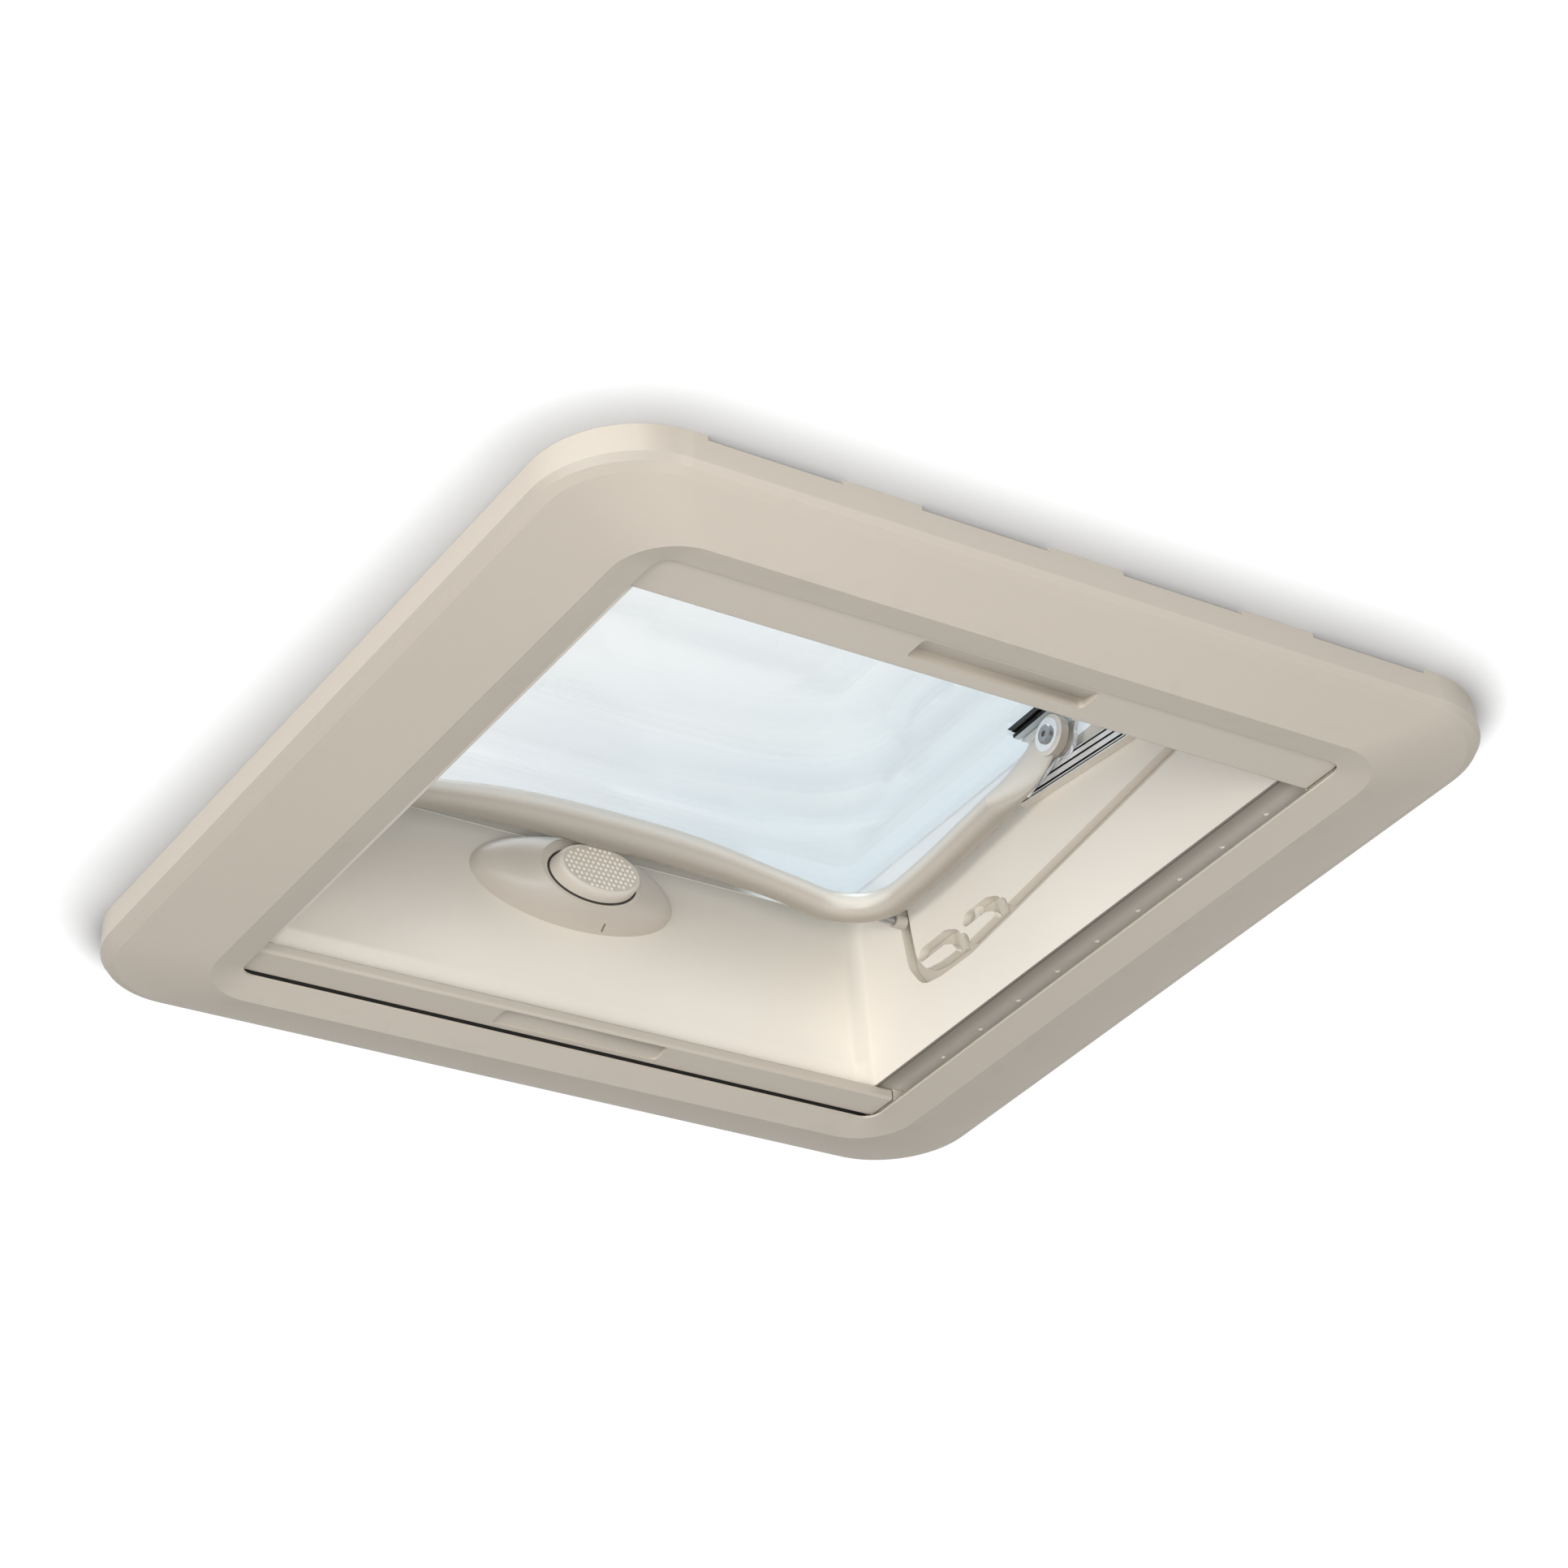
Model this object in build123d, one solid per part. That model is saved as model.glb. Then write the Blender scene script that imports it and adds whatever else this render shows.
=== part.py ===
from build123d import *

import os
from math import atan2, cos, hypot, sin

# A hinged roof light for a caravan, closed. The sky is +Z and z = 0 is the lowest line of the ceiling frame.
# The hinges are on the -Y side and the latch is on the +Y side. The cab and the rear look the same, so the
# left and right fittings are mirror images. All sizes are in millimetres.

# The hole in the roof, and the two skins that the fitting closes on
CUT_OUT = 400.0
CEILING = 27.7
ROOF_THICK = 44.3
ROOF_TOP = CEILING + ROOF_THICK

# The well, which is the deep inner wall that shows from below. Its walls stand inside the hole
WELL_INSET_X = 23.0
WELL_INSET_Y = 16.0
WELL_X = CUT_OUT / 2 - WELL_INSET_X
WELL_Y = CUT_OUT / 2 - WELL_INSET_Y
WELL_CORNER = 9.0
WALL = 2.5
WELL_LOW = 13.1
WELL_RISE = 46.0
WELL_HIGH = ROOF_TOP + WELL_RISE
CUT_OUT_GAP = 3.0
CLAMP_REACH = 16.0
DIMPLES = 9
DIMPLE_PITCH = 33.4
DIMPLE_INSET = 13.0
DIMPLE_DEPTH = 1.2
DIMPLE = 1.5

# The ceiling frame, from its opening outwards: the lip, the lowest line or ridge, the sloping face, the rim
OPEN_STEP_X = 8.9
OPEN_STEP_Y = 10.9
OPEN_X = WELL_X + OPEN_STEP_X
OPEN_Y = WELL_Y + OPEN_STEP_Y
OPEN_CORNER = 9.0
OPEN_Z = 3.9
LIP_WALL = 1.3
LIP_TOP = OPEN_Z + LIP_WALL
LIP_WIDTH = 17.0
LIP_BACK = 15.0
RIDGE_X = OPEN_X + LIP_WIDTH
RIDGE_Y = OPEN_Y + LIP_WIDTH
RIDGE_CORNER = 30.0
FACE_X = 47.1
FACE_Y = 36.16
FRAME_X = RIDGE_X + FACE_X
FRAME_Y = RIDGE_Y + FACE_Y
FRAME_CORNER = 49.0
FRAME_WALL = 2.6
RIM_FLARE = 0.7
RIM_LOW = 11.3
RIM_ROUND = 7.0
VENTS = 4
VENT_LENGTH = 67.0
VENT_PITCH = 107.0
VENT_DEPTH = 2.4

# The roof frame, which stands on the roof and carries the dome
FLANGE_REACH = 40.0
FLANGE = 3.0
GASKET = 2.0
UPSTAND_STEP_X = 6.0
UPSTAND_STEP_Y = 9.0
UPSTAND_X = CUT_OUT / 2 + UPSTAND_STEP_X
UPSTAND_Y = CUT_OUT / 2 + UPSTAND_STEP_Y
UPSTAND_DRAFT = 3.0
UPSTAND_CORNER = 34.0
UPSTAND_WALL = 3.0
DECK_RISE = 12.0
DECK = WELL_HIGH + DECK_RISE
SKIRT_DEPTH = 24.0
RING_WIDTH = 4.0
SOCKET_DEPTH = 10.0
SEAL_HEIGHT = 3.7
SEAL_WIDTH = 8.0
SLIP = 0.3
RUNNING = 0.05

# The double dome
PANE_LOW = DECK + SEAL_HEIGHT + SLIP
PANE = 3.0
PANE_RISE = 9.0
PANE_INSET = 4.0
DOME_OVERHANG = 17.0
DOME_HALF = UPSTAND_Y + DOME_OVERHANG
DOME_CORNER = 46.0
DOME_RIM = 18.0
DOME_RISE = 26.0
LIP_DROP = 19.0

# The hinges on the -Y side
HINGE_STEP = 5.0
HINGE_DROP = 24.0
HINGE_Y = -UPSTAND_Y - HINGE_STEP
HINGE_Z = DECK - HINGE_DROP
HINGE_X = 110.0
KNUCKLE = 4.5
KNUCKLE_LENGTH = 13.6
HINGE_PIN = 2.0
EAR = 4.0
LEAF_HALF = 20.0
LEAF = 2.5
RIVET = 2.0
RIVET_STEP = 14.0
RIVET_Y = HINGE_Y - 1.0

# What lies between a side wall and the bow, from the wall inwards: stay, bracket, spacer, eye of the bow
STAY_GAP = 0.6
STAY_WIDTH = 5.2
STAY_OUT = WELL_X - STAY_GAP
STAY_IN = STAY_OUT - STAY_WIDTH
BRACKET_GAP = 0.4
BRACKET = 2.4
EAR_OUT = STAY_IN - BRACKET_GAP
EAR_IN = EAR_OUT - BRACKET
SPACER = 4.4
EYE = 4.5
BOW_EYE_OUT = EAR_IN - SPACER
BOW_EYE_IN = BOW_EYE_OUT - EYE
WASHER = 1.4
SCREW_HEAD = 1.6

# The pivot of the bow under the pane, with its bracket, and the clear block and strip above it
PIVOT_Y = -20.0
PIVOT_DROP = 19.5
PIVOT_Z = PANE_LOW - PIVOT_DROP
PIVOT_SCREW = 2.5
EYE_RADIUS = 11.0
PAD = 3.0
PAD_LOW = PANE_LOW - PAD
STRIP = 2.0
STRIP_WIDTH = 4.0
STRIP_IN = BOW_EYE_IN + 0.5
BRACKET_LOW = PAD_LOW - 2.5

# The latch on the +Y wall
LATCH_DEPTH = 21.0
LATCH_FRONT = WELL_Y - LATCH_DEPTH
LATCH_DROP = 25.0
LATCH_Z = WELL_HIGH - LATCH_DROP
LATCH_HALF = 60.0
LATCH_TALL = 24.5
LATCH_SCREW_X = 38.0
LATCH_SCREW = 1.9
NOSE_HALF = 30.0
NOSE_TALL = 19.5
NOSE_DROP = 2.0
BUTTON_HALF = 25.5
BUTTON_TALL = 14.5
BUTTON_Z = LATCH_Z - 4.3
BUTTON_STANDS = 9.0
BUTTON_SKIRT = 11.0
BUTTON_PRESS = 5.0
BUTTON_GAP = 0.4
SPRING_RADIUS = 6.0
SPRING_TURNS = 5
SPRING_WIRE = 0.7
SPRING_SEAT = WELL_Y - 2.0
BOLT_RATIO = 1.2
BOLT_HALF = 10.0
BOLT_THICK = 3.0
BOLT_BACK = LATCH_FRONT + 12.0

# The bow: its arms, its crossbar in front of the latch and its guide pins
BOW_GAP = 9.7
BAR_FLAT = 6.3
BOW_Y = LATCH_FRONT - BOW_GAP - BAR_FLAT
ARM_X = BOW_EYE_IN + 0.5
ARM_RADIUS = 8.0
BOW_CORNER = 34.0
BAR_RADIUS = 10.0
BAR_DROP = 6.2
BAR_Z = PIVOT_Z - BAR_DROP
GUIDE_Y = BOW_Y - 11.0
GUIDE_DROP = 23.5
GUIDE_Z = PIVOT_Z - GUIDE_DROP
GUIDE_PIN = 2.4
GUIDE_PIN_IN = ARM_X - 14.0
GUIDE_PIN_OUT = WELL_X - 0.4
GUIDE_ROLLER = 3.7
ROLLER_LENGTH = 6.6
BOLT_LOW = BAR_Z - 3.3
BOLT_HIGH = BOLT_LOW + BOLT_THICK
BOLT_FRONT = BOW_Y + BAR_FLAT + 0.4

# The guide grooves in the side walls
GROOVE = 8.0
GROOVE_DEPTH = 6.5
GUIDE_BLOCK = 6.0
GUIDE_START = GUIDE_Y - 240.0
GUIDE_END = GUIDE_Y + 10.0
GUIDE_LOW = WELL_LOW + 26.9
GUIDE_HIGH = GUIDE_Z + 15.0
RAMP = 3.0

# The telescopic stays
STAY_FOOT_Y = PIVOT_Y - 132.0
STAY_FOOT_Z = PIVOT_Z - 26.2
STAY_HEAD_Y = PIVOT_Y + 34.0
STAY_HEAD_Z = PIVOT_Z - 9.3
STAY_HEIGHT = 12.0
STAY_SLOT = 6.4
STAY_SKIN = 1.2
STAY_BAR_REACH = 125.0
STAY_CHANNEL_START = 32.0
STAY_PIN = 2.5

# The two pleated blinds and their tracks on the lip of the ceiling frame
SLAT_GAP = 0.2
SLAT_HALF = OPEN_X - SLAT_GAP
CAP = 13.6
CAP_GAP = 0.5
SLAT_END = SLAT_HALF + CAP
TRACK_STEP = 1.8
TRACK_WALL = 1.2
TRACK_IN = SLAT_HALF + TRACK_STEP
TRACK_OUT = SLAT_END + CAP_GAP + TRACK_WALL
TRACK_SKIN = 0.8
SLAT_LOW = LIP_TOP + TRACK_SKIN + SLIP
SLAT_HIGH = WELL_LOW - 0.4
BLIND_WIDTH = 30.9
BLIND_OUTER = OPEN_Y + 2.8
BLIND_INNER = BLIND_OUTER - BLIND_WIDTH
SCREEN_WIDTH = 20.4
SCREEN_OUTER = OPEN_Y - 0.7
SCREEN_INNER = SCREEN_OUTER - SCREEN_WIDTH
TAIL = 1.2
GRIP_HALF = 48.0
GRIP_DEPTH = 4.0
GRIP_SHALLOW = 0.8
GRIP_WIDTH = 14.2
BLIND_GRIP = 9.4
SCREEN_GRIP = 1.5
PLEAT_START = BLIND_OUTER + SLIP
PLEAT_LENGTH = 24.0
PLEAT_END = PLEAT_START + PLEAT_LENGTH
PLEATS = 10
CLOTH = 0.4
ANCHOR = 3.2


def plate(half_x, half_y, corner, low, high):
    """A flat rounded rectangle about the middle of the opening, between two heights."""
    return Pos(0, 0, low) * extrude(RectangleRounded(2 * half_x, 2 * half_y, corner), high - low)


def ring(outer, inner, low, high):
    """A flat rounded frame. The outer and inner outlines are each half x, half y and corner."""
    return plate(*outer, low, high) - plate(*inner, low - 1, high + 1)


def tapered(sections):
    """A straight-sided body through rounded rectangles, each half x, half y, corner and height."""
    outlines = []
    for half_x, half_y, corner, height in sections:
        outlines.append(Pos(0, 0, height) * RectangleRounded(2 * half_x, 2 * half_y, corner))
    return loft(outlines, ruled=True)


def grown(outline, amount):
    """The same rounded rectangle, larger all round by an amount."""
    return tuple(value + amount for value in outline)


def block(low, high):
    """A box between two opposite corners."""
    size = [high[axis] - low[axis] for axis in range(3)]
    return Pos(*low) * Box(*size, align=(Align.MIN, Align.MIN, Align.MIN))


def rod_x(start, end, y, z, radius):
    """A round bar along X."""
    return Plane(origin=(start, y, z), x_dir=(0, 1, 0), z_dir=(1, 0, 0)) * extrude(Circle(radius), end - start)


def rod_y(start, end, x, z, radius):
    """A round bar along Y."""
    return Plane(origin=(x, start, z), x_dir=(1, 0, 0), z_dir=(0, 1, 0)) * extrude(Circle(radius), end - start)


def rod_z(start, end, x, y, radius):
    """A round bar along Z."""
    return Pos(x, y, start) * extrude(Circle(radius), end - start)


def side_plate(start, end, points):
    """A flat plate parallel to the side walls, from a list of (y, z) corners."""
    outline = make_face(Polyline([(start, y, z) for y, z in points], close=True))
    return extrude(outline, end - start, dir=(1, 0, 0))


def both_sides(piece):
    """A piece of the right side with its mirror image on the left."""
    return [piece, mirror(piece, about=Plane.YZ)]


def all_corners(points):
    """Every place that a list of right-hand (x, y) places has, with the signs of x and y changed."""
    return [(x * sx, y * sy) for x, y in points for sx in (-1, 1) for sy in (-1, 1)]


WELL = (WELL_X, WELL_Y, WELL_CORNER)
WELL_BACK = grown(WELL, WALL)
CUT_HALF = CUT_OUT / 2
LEDGE_HALF = CUT_HALF - CUT_OUT_GAP
LEDGE = (LEDGE_HALF, LEDGE_HALF, WELL_CORNER + WALL + 4)
SCREW_PLACES = all_corners([(50, LEDGE_HALF - 6.5), (150, LEDGE_HALF - 6.5)])
SCREW = 2.0
COUNTERSINK = 1.8
BOSS = 3.8
UPSTAND_FOOT = (UPSTAND_X, UPSTAND_Y, UPSTAND_CORNER)
UPSTAND_HEAD = grown(UPSTAND_FOOT, -UPSTAND_DRAFT)
FLANGE_LOW = ROOF_TOP + GASKET
FLANGE_TOP = FLANGE_LOW + FLANGE
CLIP_PLACES = [(LEDGE_HALF, y) for y in (-150, -50, 50, 150)]
CLIP_LOW = WELL_LOW + 2.7
CLIP_HIGH = CEILING - 2.9
TOWER = CEILING - 4.7


def ceiling_frame():
    """The moulded frame under the ceiling: a sloping face, a rolled rim, a lip and a hollow back."""
    outer = (FRAME_X + RIM_FLARE, FRAME_Y + RIM_FLARE, FRAME_CORNER)
    body = tapered([
        (RIDGE_X, RIDGE_Y, RIDGE_CORNER, 0),
        (*grown(outer, -RIM_ROUND), RIM_LOW - 3.4),
        (*grown(outer, -0.3 * RIM_ROUND), RIM_LOW - 1.4),
        (*outer, RIM_LOW + 2),
        (FRAME_X, FRAME_Y, FRAME_CORNER, CEILING),
    ])
    opening = (OPEN_X, OPEN_Y, OPEN_CORNER)
    run_out = 1 / OPEN_Z
    below = [ridge + (ridge - edge) * run_out
             for ridge, edge in zip((RIDGE_X, RIDGE_Y, RIDGE_CORNER), opening)]
    body -= tapered([(*below, -1), (*opening, OPEN_Z)])
    body -= plate(*opening, OPEN_Z - 0.5, CEILING + 1)
    cavity = grown(outer, -RIM_FLARE - FRAME_WALL)
    body -= tapered([
        (RIDGE_X + LIP_BACK, RIDGE_Y + LIP_BACK - 4, RIDGE_CORNER + 8, LIP_TOP),
        (*cavity, RIM_LOW + 2),
        (*cavity, CEILING + 1),
    ])
    for index in range(VENTS):
        middle = (index - (VENTS - 1) / 2) * VENT_PITCH
        body -= block((middle - VENT_LENGTH / 2, -FRAME_Y - RIM_FLARE - 1, CEILING - VENT_DEPTH),
                      (middle + VENT_LENGTH / 2, -FRAME_Y + FRAME_WALL + 2, CEILING + 1))
    for x, y in CLIP_PLACES:
        hook = [(x + 4.2, LIP_TOP - 0.5), (x + 7.2, LIP_TOP - 0.5), (x + 7.2, TOWER - 3), (x + 5.4, TOWER),
                (x + 3.75, TOWER - 3), (x + 3.75, TOWER - 4.5), (x + 4.2, TOWER - 5.5)]
        outline = make_face(Polyline([(px, y - 8, pz) for px, pz in hook], close=True))
        for tower in both_sides(extrude(outline, 16, dir=(0, 1, 0))):
            body += tower
    return body




def on_guide(points):
    """Places in a side wall, given from the guide pin, as (y, z)."""
    return [(GUIDE_Y + along, GUIDE_Z + up) for along, up in points]


# The way of the guide pin: down the entrance, under the two islands and up the long slot
GROOVE_PATH = on_guide([(1.5, 11), (0, -6), (-2.5, -25), (-11, -38), (-26, -40.5), (-52, -41), (-86, -37),
                        (-232, -18.6)])
# The two parking notches behind the islands, the ramps that lead into them and the rib across the second
PARKING_PATHS = [on_guide([(-48, -40), (-40, -28.5), (-32, -24.7), (-12, -24.7)]),
                 on_guide([(-84, -37), (-76, -27.5), (-68, -24.4), (-52, -24.4)])]
TURN_PLACES = on_guide([(-45.8, -36.2), (-80, -33)])
TURN = 6.0
RAMP_LENGTH = 12.0
GATE = 4.0
GATE_PLACE = GUIDE_Y - 60.0


def groove(points, corner):
    """A round-ended cutter for a groove in the right wall, along (y, z) points with eased turns."""
    path = FilletPolyline([(y, z, 0) for y, z in points], radius=corner)
    outline = make_face(offset(path, GROOVE / 2, side=Side.BOTH))
    wall_plane = Plane(origin=(WELL_X - 1, 0, 0), x_dir=(0, 1, 0), z_dir=(1, 0, 0))
    return wall_plane * extrude(outline, GROOVE_DEPTH + 1)


def well_liner():
    """The inner wall of the well, its ledge and clamp flange, and the grooved guide blocks of the bow."""
    body = ring(WELL_BACK, WELL, WELL_LOW, WELL_HIGH)
    body += ring(LEDGE, WELL, WELL_LOW, WELL_LOW + WALL)
    body += ring(LEDGE, grown(LEDGE, -WALL), WELL_LOW, CEILING)
    body += ring(grown(LEDGE, CLAMP_REACH + CUT_OUT_GAP), grown(LEDGE, -WALL), CEILING - WALL, CEILING)
    back = WELL_X + WALL
    floor = WELL_X + GROOVE_DEPTH
    gate = block((back, GATE_PLACE, GUIDE_LOW), (floor + 1, GATE_PLACE + GATE, GUIDE_HIGH))
    cutters = [groove(GROOVE_PATH, 11)]
    for points in PARKING_PATHS:
        start = points[2][0]
        ramp = Polyline([(floor + 1, start, 0), (floor, start, 0), (floor - RAMP, start - RAMP_LENGTH, 0),
                         (floor + 1, start - RAMP_LENGTH, 0)], close=True)
        ramp = Pos(0, 0, GUIDE_LOW) * extrude(make_face(ramp), GUIDE_HIGH - GUIDE_LOW, dir=(0, 0, 1))
        cutters.append(groove(points, 6) - gate - ramp)
    for y, z in TURN_PLACES:
        cutters.append(rod_x(WELL_X - 1, floor - RAMP, y, z, TURN))
    guide = block((back - 0.5, GUIDE_START, GUIDE_LOW), (back + GUIDE_BLOCK, GUIDE_END, GUIDE_HIGH))
    for piece in both_sides(guide):
        body += piece
    for cutter in cutters:
        for piece in both_sides(cutter):
            body -= piece
    for piece in both_sides(rod_x(WELL_X - 1, back + 1, STAY_FOOT_Y, STAY_FOOT_Z, STAY_PIN)):
        body -= piece
    for x, y in SCREW_PLACES:
        body -= rod_z(WELL_LOW - 1, WELL_LOW + WALL + 1, x, y, SCREW + RUNNING)
        body -= Pos(x, y, WELL_LOW + COUNTERSINK / 2) * Cone(SCREW * 2, SCREW, COUNTERSINK)
    dimple_x = WELL_X + DIMPLE_INSET
    for index in range(DIMPLES):
        y = (index - (DIMPLES - 1) / 2) * DIMPLE_PITCH
        for x in (-dimple_x, dimple_x):
            body -= rod_z(WELL_LOW - 1, WELL_LOW + DIMPLE_DEPTH, x, y, DIMPLE)
    for x in (-LATCH_SCREW_X, LATCH_SCREW_X):
        body -= rod_y(WELL_Y - 1, WELL_Y + WALL + 1, x, LATCH_Z, LATCH_SCREW)
    return body


def roof_frame():
    """The frame on the roof: flange, skirt, tapered upstand, deck, socket for the liner and hinge ears."""
    body = tapered([(*UPSTAND_FOOT, FLANGE_LOW), (*UPSTAND_HEAD, DECK)])
    body -= tapered([(*grown(UPSTAND_FOOT, -UPSTAND_WALL), FLANGE_LOW - 0.01),
                     (*grown(UPSTAND_HEAD, -UPSTAND_WALL), DECK - UPSTAND_WALL)])
    skirt = (LEDGE_HALF + 2, LEDGE_HALF + 2, LEDGE[2])
    skirt_inner = grown(skirt, -WALL)
    flange = grown((CUT_HALF, CUT_HALF, 0), FLANGE_REACH)
    body -= plate(*WELL, DECK - UPSTAND_WALL - 1, DECK + 1)
    body += ring(flange, skirt_inner, FLANGE_LOW, FLANGE_TOP)
    body += ring(skirt, skirt_inner, FLANGE_TOP - SKIRT_DEPTH - FLANGE, FLANGE_TOP)
    body += ring(grown(WELL, RING_WIDTH), WELL, WELL_HIGH + SLIP, DECK)
    socket = grown(WELL_BACK, SLIP)
    body += ring(grown(socket, UPSTAND_WALL - SLIP), socket, WELL_HIGH - SOCKET_DEPTH, WELL_HIGH + 3)
    for x, y in SCREW_PLACES:
        body += rod_z(WELL_HIGH - 58, DECK - 1, x, y, BOSS)
        outward = 1 if y > 0 else -1
        web_end = outward * (UPSTAND_Y - UPSTAND_WALL - 1)
        body += block((x - 1, min(y, web_end), FLANGE_TOP), (x + 1, max(y, web_end), DECK - 1))
        body -= rod_z(WELL_HIGH - 59, DECK - 8, x, y, SCREW + RUNNING)
    ear_half = KNUCKLE_LENGTH / 2 + SLIP
    wall_y = -UPSTAND_Y + UPSTAND_DRAFT
    for x in (-HINGE_X, HINGE_X):
        for start in (x - ear_half - EAR, x + ear_half):
            body += side_plate(start, start + EAR, [
                (wall_y + 1, HINGE_Z - 17), (wall_y + 1, HINGE_Z + 18),
                (HINGE_Y, HINGE_Z + KNUCKLE + 1), (HINGE_Y, HINGE_Z - KNUCKLE - 1)])
            body += rod_x(start, start + EAR, HINGE_Y, HINGE_Z, KNUCKLE + 1)
        body -= rod_x(x - ear_half - EAR - 1, x + ear_half + EAR + 1, HINGE_Y, HINGE_Z, HINGE_PIN)
    return body


def roof_gasket():
    """The sealing strip between the flange and the roof."""
    reach = CUT_HALF + FLANGE_REACH - 4
    return ring((reach, reach, FLANGE_REACH - 4), (CUT_HALF + 3, CUT_HALF + 3, LEDGE[2] + 4),
                ROOF_TOP, FLANGE_LOW)


def dome_seal():
    """The rubber ring on the deck that the pane closes on."""
    inner = grown(WELL, 2)
    return ring(grown(inner, SEAL_WIDTH), inner, DECK, DECK + SEAL_HEIGHT)


def liner_screws():
    """The countersunk screws that draw the liner and the roof frame together."""
    screws = []
    for x, y in SCREW_PLACES:
        head = Pos(x, y, WELL_LOW + COUNTERSINK / 2) * Cone(SCREW * 2, SCREW, COUNTERSINK)
        screws.append(head + rod_z(WELL_LOW + COUNTERSINK, DECK - 12, x, y, SCREW))
    return screws


def frame_clips():
    """The sprung steel strips on the liner that the towers of the ceiling frame snap behind."""
    clips = []
    for x, y in CLIP_PLACES:
        bend = [(x, CLIP_LOW), (x, CLIP_HIGH), (x + 1.2, CLIP_HIGH), (x + 3.95, CLIP_LOW + 1.8),
                (x + 2.6, CLIP_LOW), (x + 2.0, CLIP_LOW + 0.5), (x + 3.1, CLIP_LOW + 1.9),
                (x + 0.75, CLIP_HIGH - 1.4), (x + 0.75, CLIP_LOW)]
        outline = make_face(Polyline([(px, y - 6, pz) for px, pz in bend], close=True))
        clips += both_sides(extrude(outline, 12, dir=(0, 1, 0)))
    return clips


PANE_TOP = PANE_LOW + PANE
DOME_TOP = PANE_TOP + PANE
PANE_HALF = DOME_HALF - PANE_INSET


def rivet_places():
    """The (x, y) places of the rivets that hold the hinge leaves."""
    return [(side * HINGE_X + step, RIVET_Y) for side in (-1, 1) for step in (-RIVET_STEP, RIVET_STEP)]


def crown(sections, base):
    """A domed sheet that stands on a rim: the solid dome less the same dome one thickness lower."""
    dome = tapered([(half, half, corner, base + rise) for half, corner, rise in sections])
    return dome, Pos(0, 0, -PANE) * dome


def dome_inner():
    """The inner pane of the double dome, flat at its rim and gently raised in the middle."""
    rise = PANE_RISE
    foot = BOW_EYE_IN - 7.5
    raised, hollow = crown([(foot, 46, -0.05), (foot - 16, 44, 0.55 * rise), (foot - 56, 36, 0.85 * rise),
                            (foot - 104, 24, rise)], PANE_TOP)
    body = plate(PANE_HALF, PANE_HALF, DOME_CORNER - PANE_INSET, PANE_LOW, PANE_TOP) + raised - hollow
    for x, y in rivet_places():
        body -= rod_z(PANE_LOW - 1, PANE_TOP + 1, x, y, RIVET)
    return body


def dome_outer():
    """The outer pane: a raised crown, a flat rim on the inner pane and a drip lip all round."""
    rise = DOME_RISE
    inner = DOME_HALF - DOME_RIM
    raised, hollow = crown([(inner, 34, -0.05), (inner - 8, 33, 0.24 * rise), (inner - 36, 32, 0.6 * rise),
                            (inner - 90, 30, 0.88 * rise), (inner - 152, 24, rise)], DOME_TOP)
    outline = (DOME_HALF, DOME_HALF, DOME_CORNER)
    body = plate(*outline, PANE_TOP, DOME_TOP) + raised - hollow
    body += ring(outline, grown(outline, -PANE), PANE_TOP - LIP_DROP, PANE_TOP + 1)
    for x, y in rivet_places():
        body -= rod_z(PANE_TOP - 1, DOME_TOP + 1, x, y, RIVET)
    return body


def hinge_leaves():
    """The two leaves under the dome rim, each with its knuckle."""
    leaves = []
    half = KNUCKLE_LENGTH / 2
    plate_low = PANE_LOW - LEAF
    for side in (-1, 1):
        x = side * HINGE_X
        leaf = rod_x(x - half, x + half, HINGE_Y, HINGE_Z, KNUCKLE)
        leaf += block((x - half, HINGE_Y - 2.5, HINGE_Z), (x + half, HINGE_Y + 2.5, PANE_LOW - 1))
        leaf += block((x - LEAF_HALF, HINGE_Y - 8, plate_low), (x + LEAF_HALF, HINGE_Y + 14, PANE_LOW))
        leaf -= rod_x(x - half - 1, x + half + 1, HINGE_Y, HINGE_Z, HINGE_PIN + RUNNING)
        for step in (-RIVET_STEP, RIVET_STEP):
            leaf -= rod_z(plate_low - 1, PANE_LOW + 1, x + step, RIVET_Y, RIVET)
        leaves.append(leaf)
    return leaves


def hinge_pins():
    """The steel pins through the ears and knuckles."""
    reach = KNUCKLE_LENGTH / 2 + SLIP + EAR
    pins = []
    for side in (-1, 1):
        x = side * HINGE_X
        pin = rod_x(x - reach - 1, x + reach + 1, HINGE_Y, HINGE_Z, HINGE_PIN)
        pin += rod_x(x + reach, x + reach + 1.5, HINGE_Y, HINGE_Z, HINGE_PIN + 1.5)
        pins.append(pin)
    return pins


def dome_rivets():
    """The rivets through both panes and the leaves."""
    rivets = []
    for x, y in rivet_places():
        rivet = rod_z(PANE_LOW - LEAF - 1.2, DOME_TOP + 1.2, x, y, RIVET)
        rivet += rod_z(PANE_LOW - LEAF - 1.2, PANE_LOW - LEAF, x, y, RIVET + 1.2)
        rivet += rod_z(DOME_TOP, DOME_TOP + 1.2, x, y, RIVET + 1.5)
        rivets.append(rivet)
    return rivets


def bracket_pad():
    """The clear block that is bonded to the pane over each bracket."""
    return block((STRIP_IN - 2.5, PIVOT_Y - 26, PAD_LOW), (WELL_X - 1, PIVOT_Y + 29, PANE_LOW))


def bracket_strip():
    """The black rubber strip along the inner edge of the clear block."""
    return block((STRIP_IN, PIVOT_Y - 26, PAD_LOW - STRIP), (STRIP_IN + STRIP_WIDTH, PIVOT_Y + 28, PAD_LOW))


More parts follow.
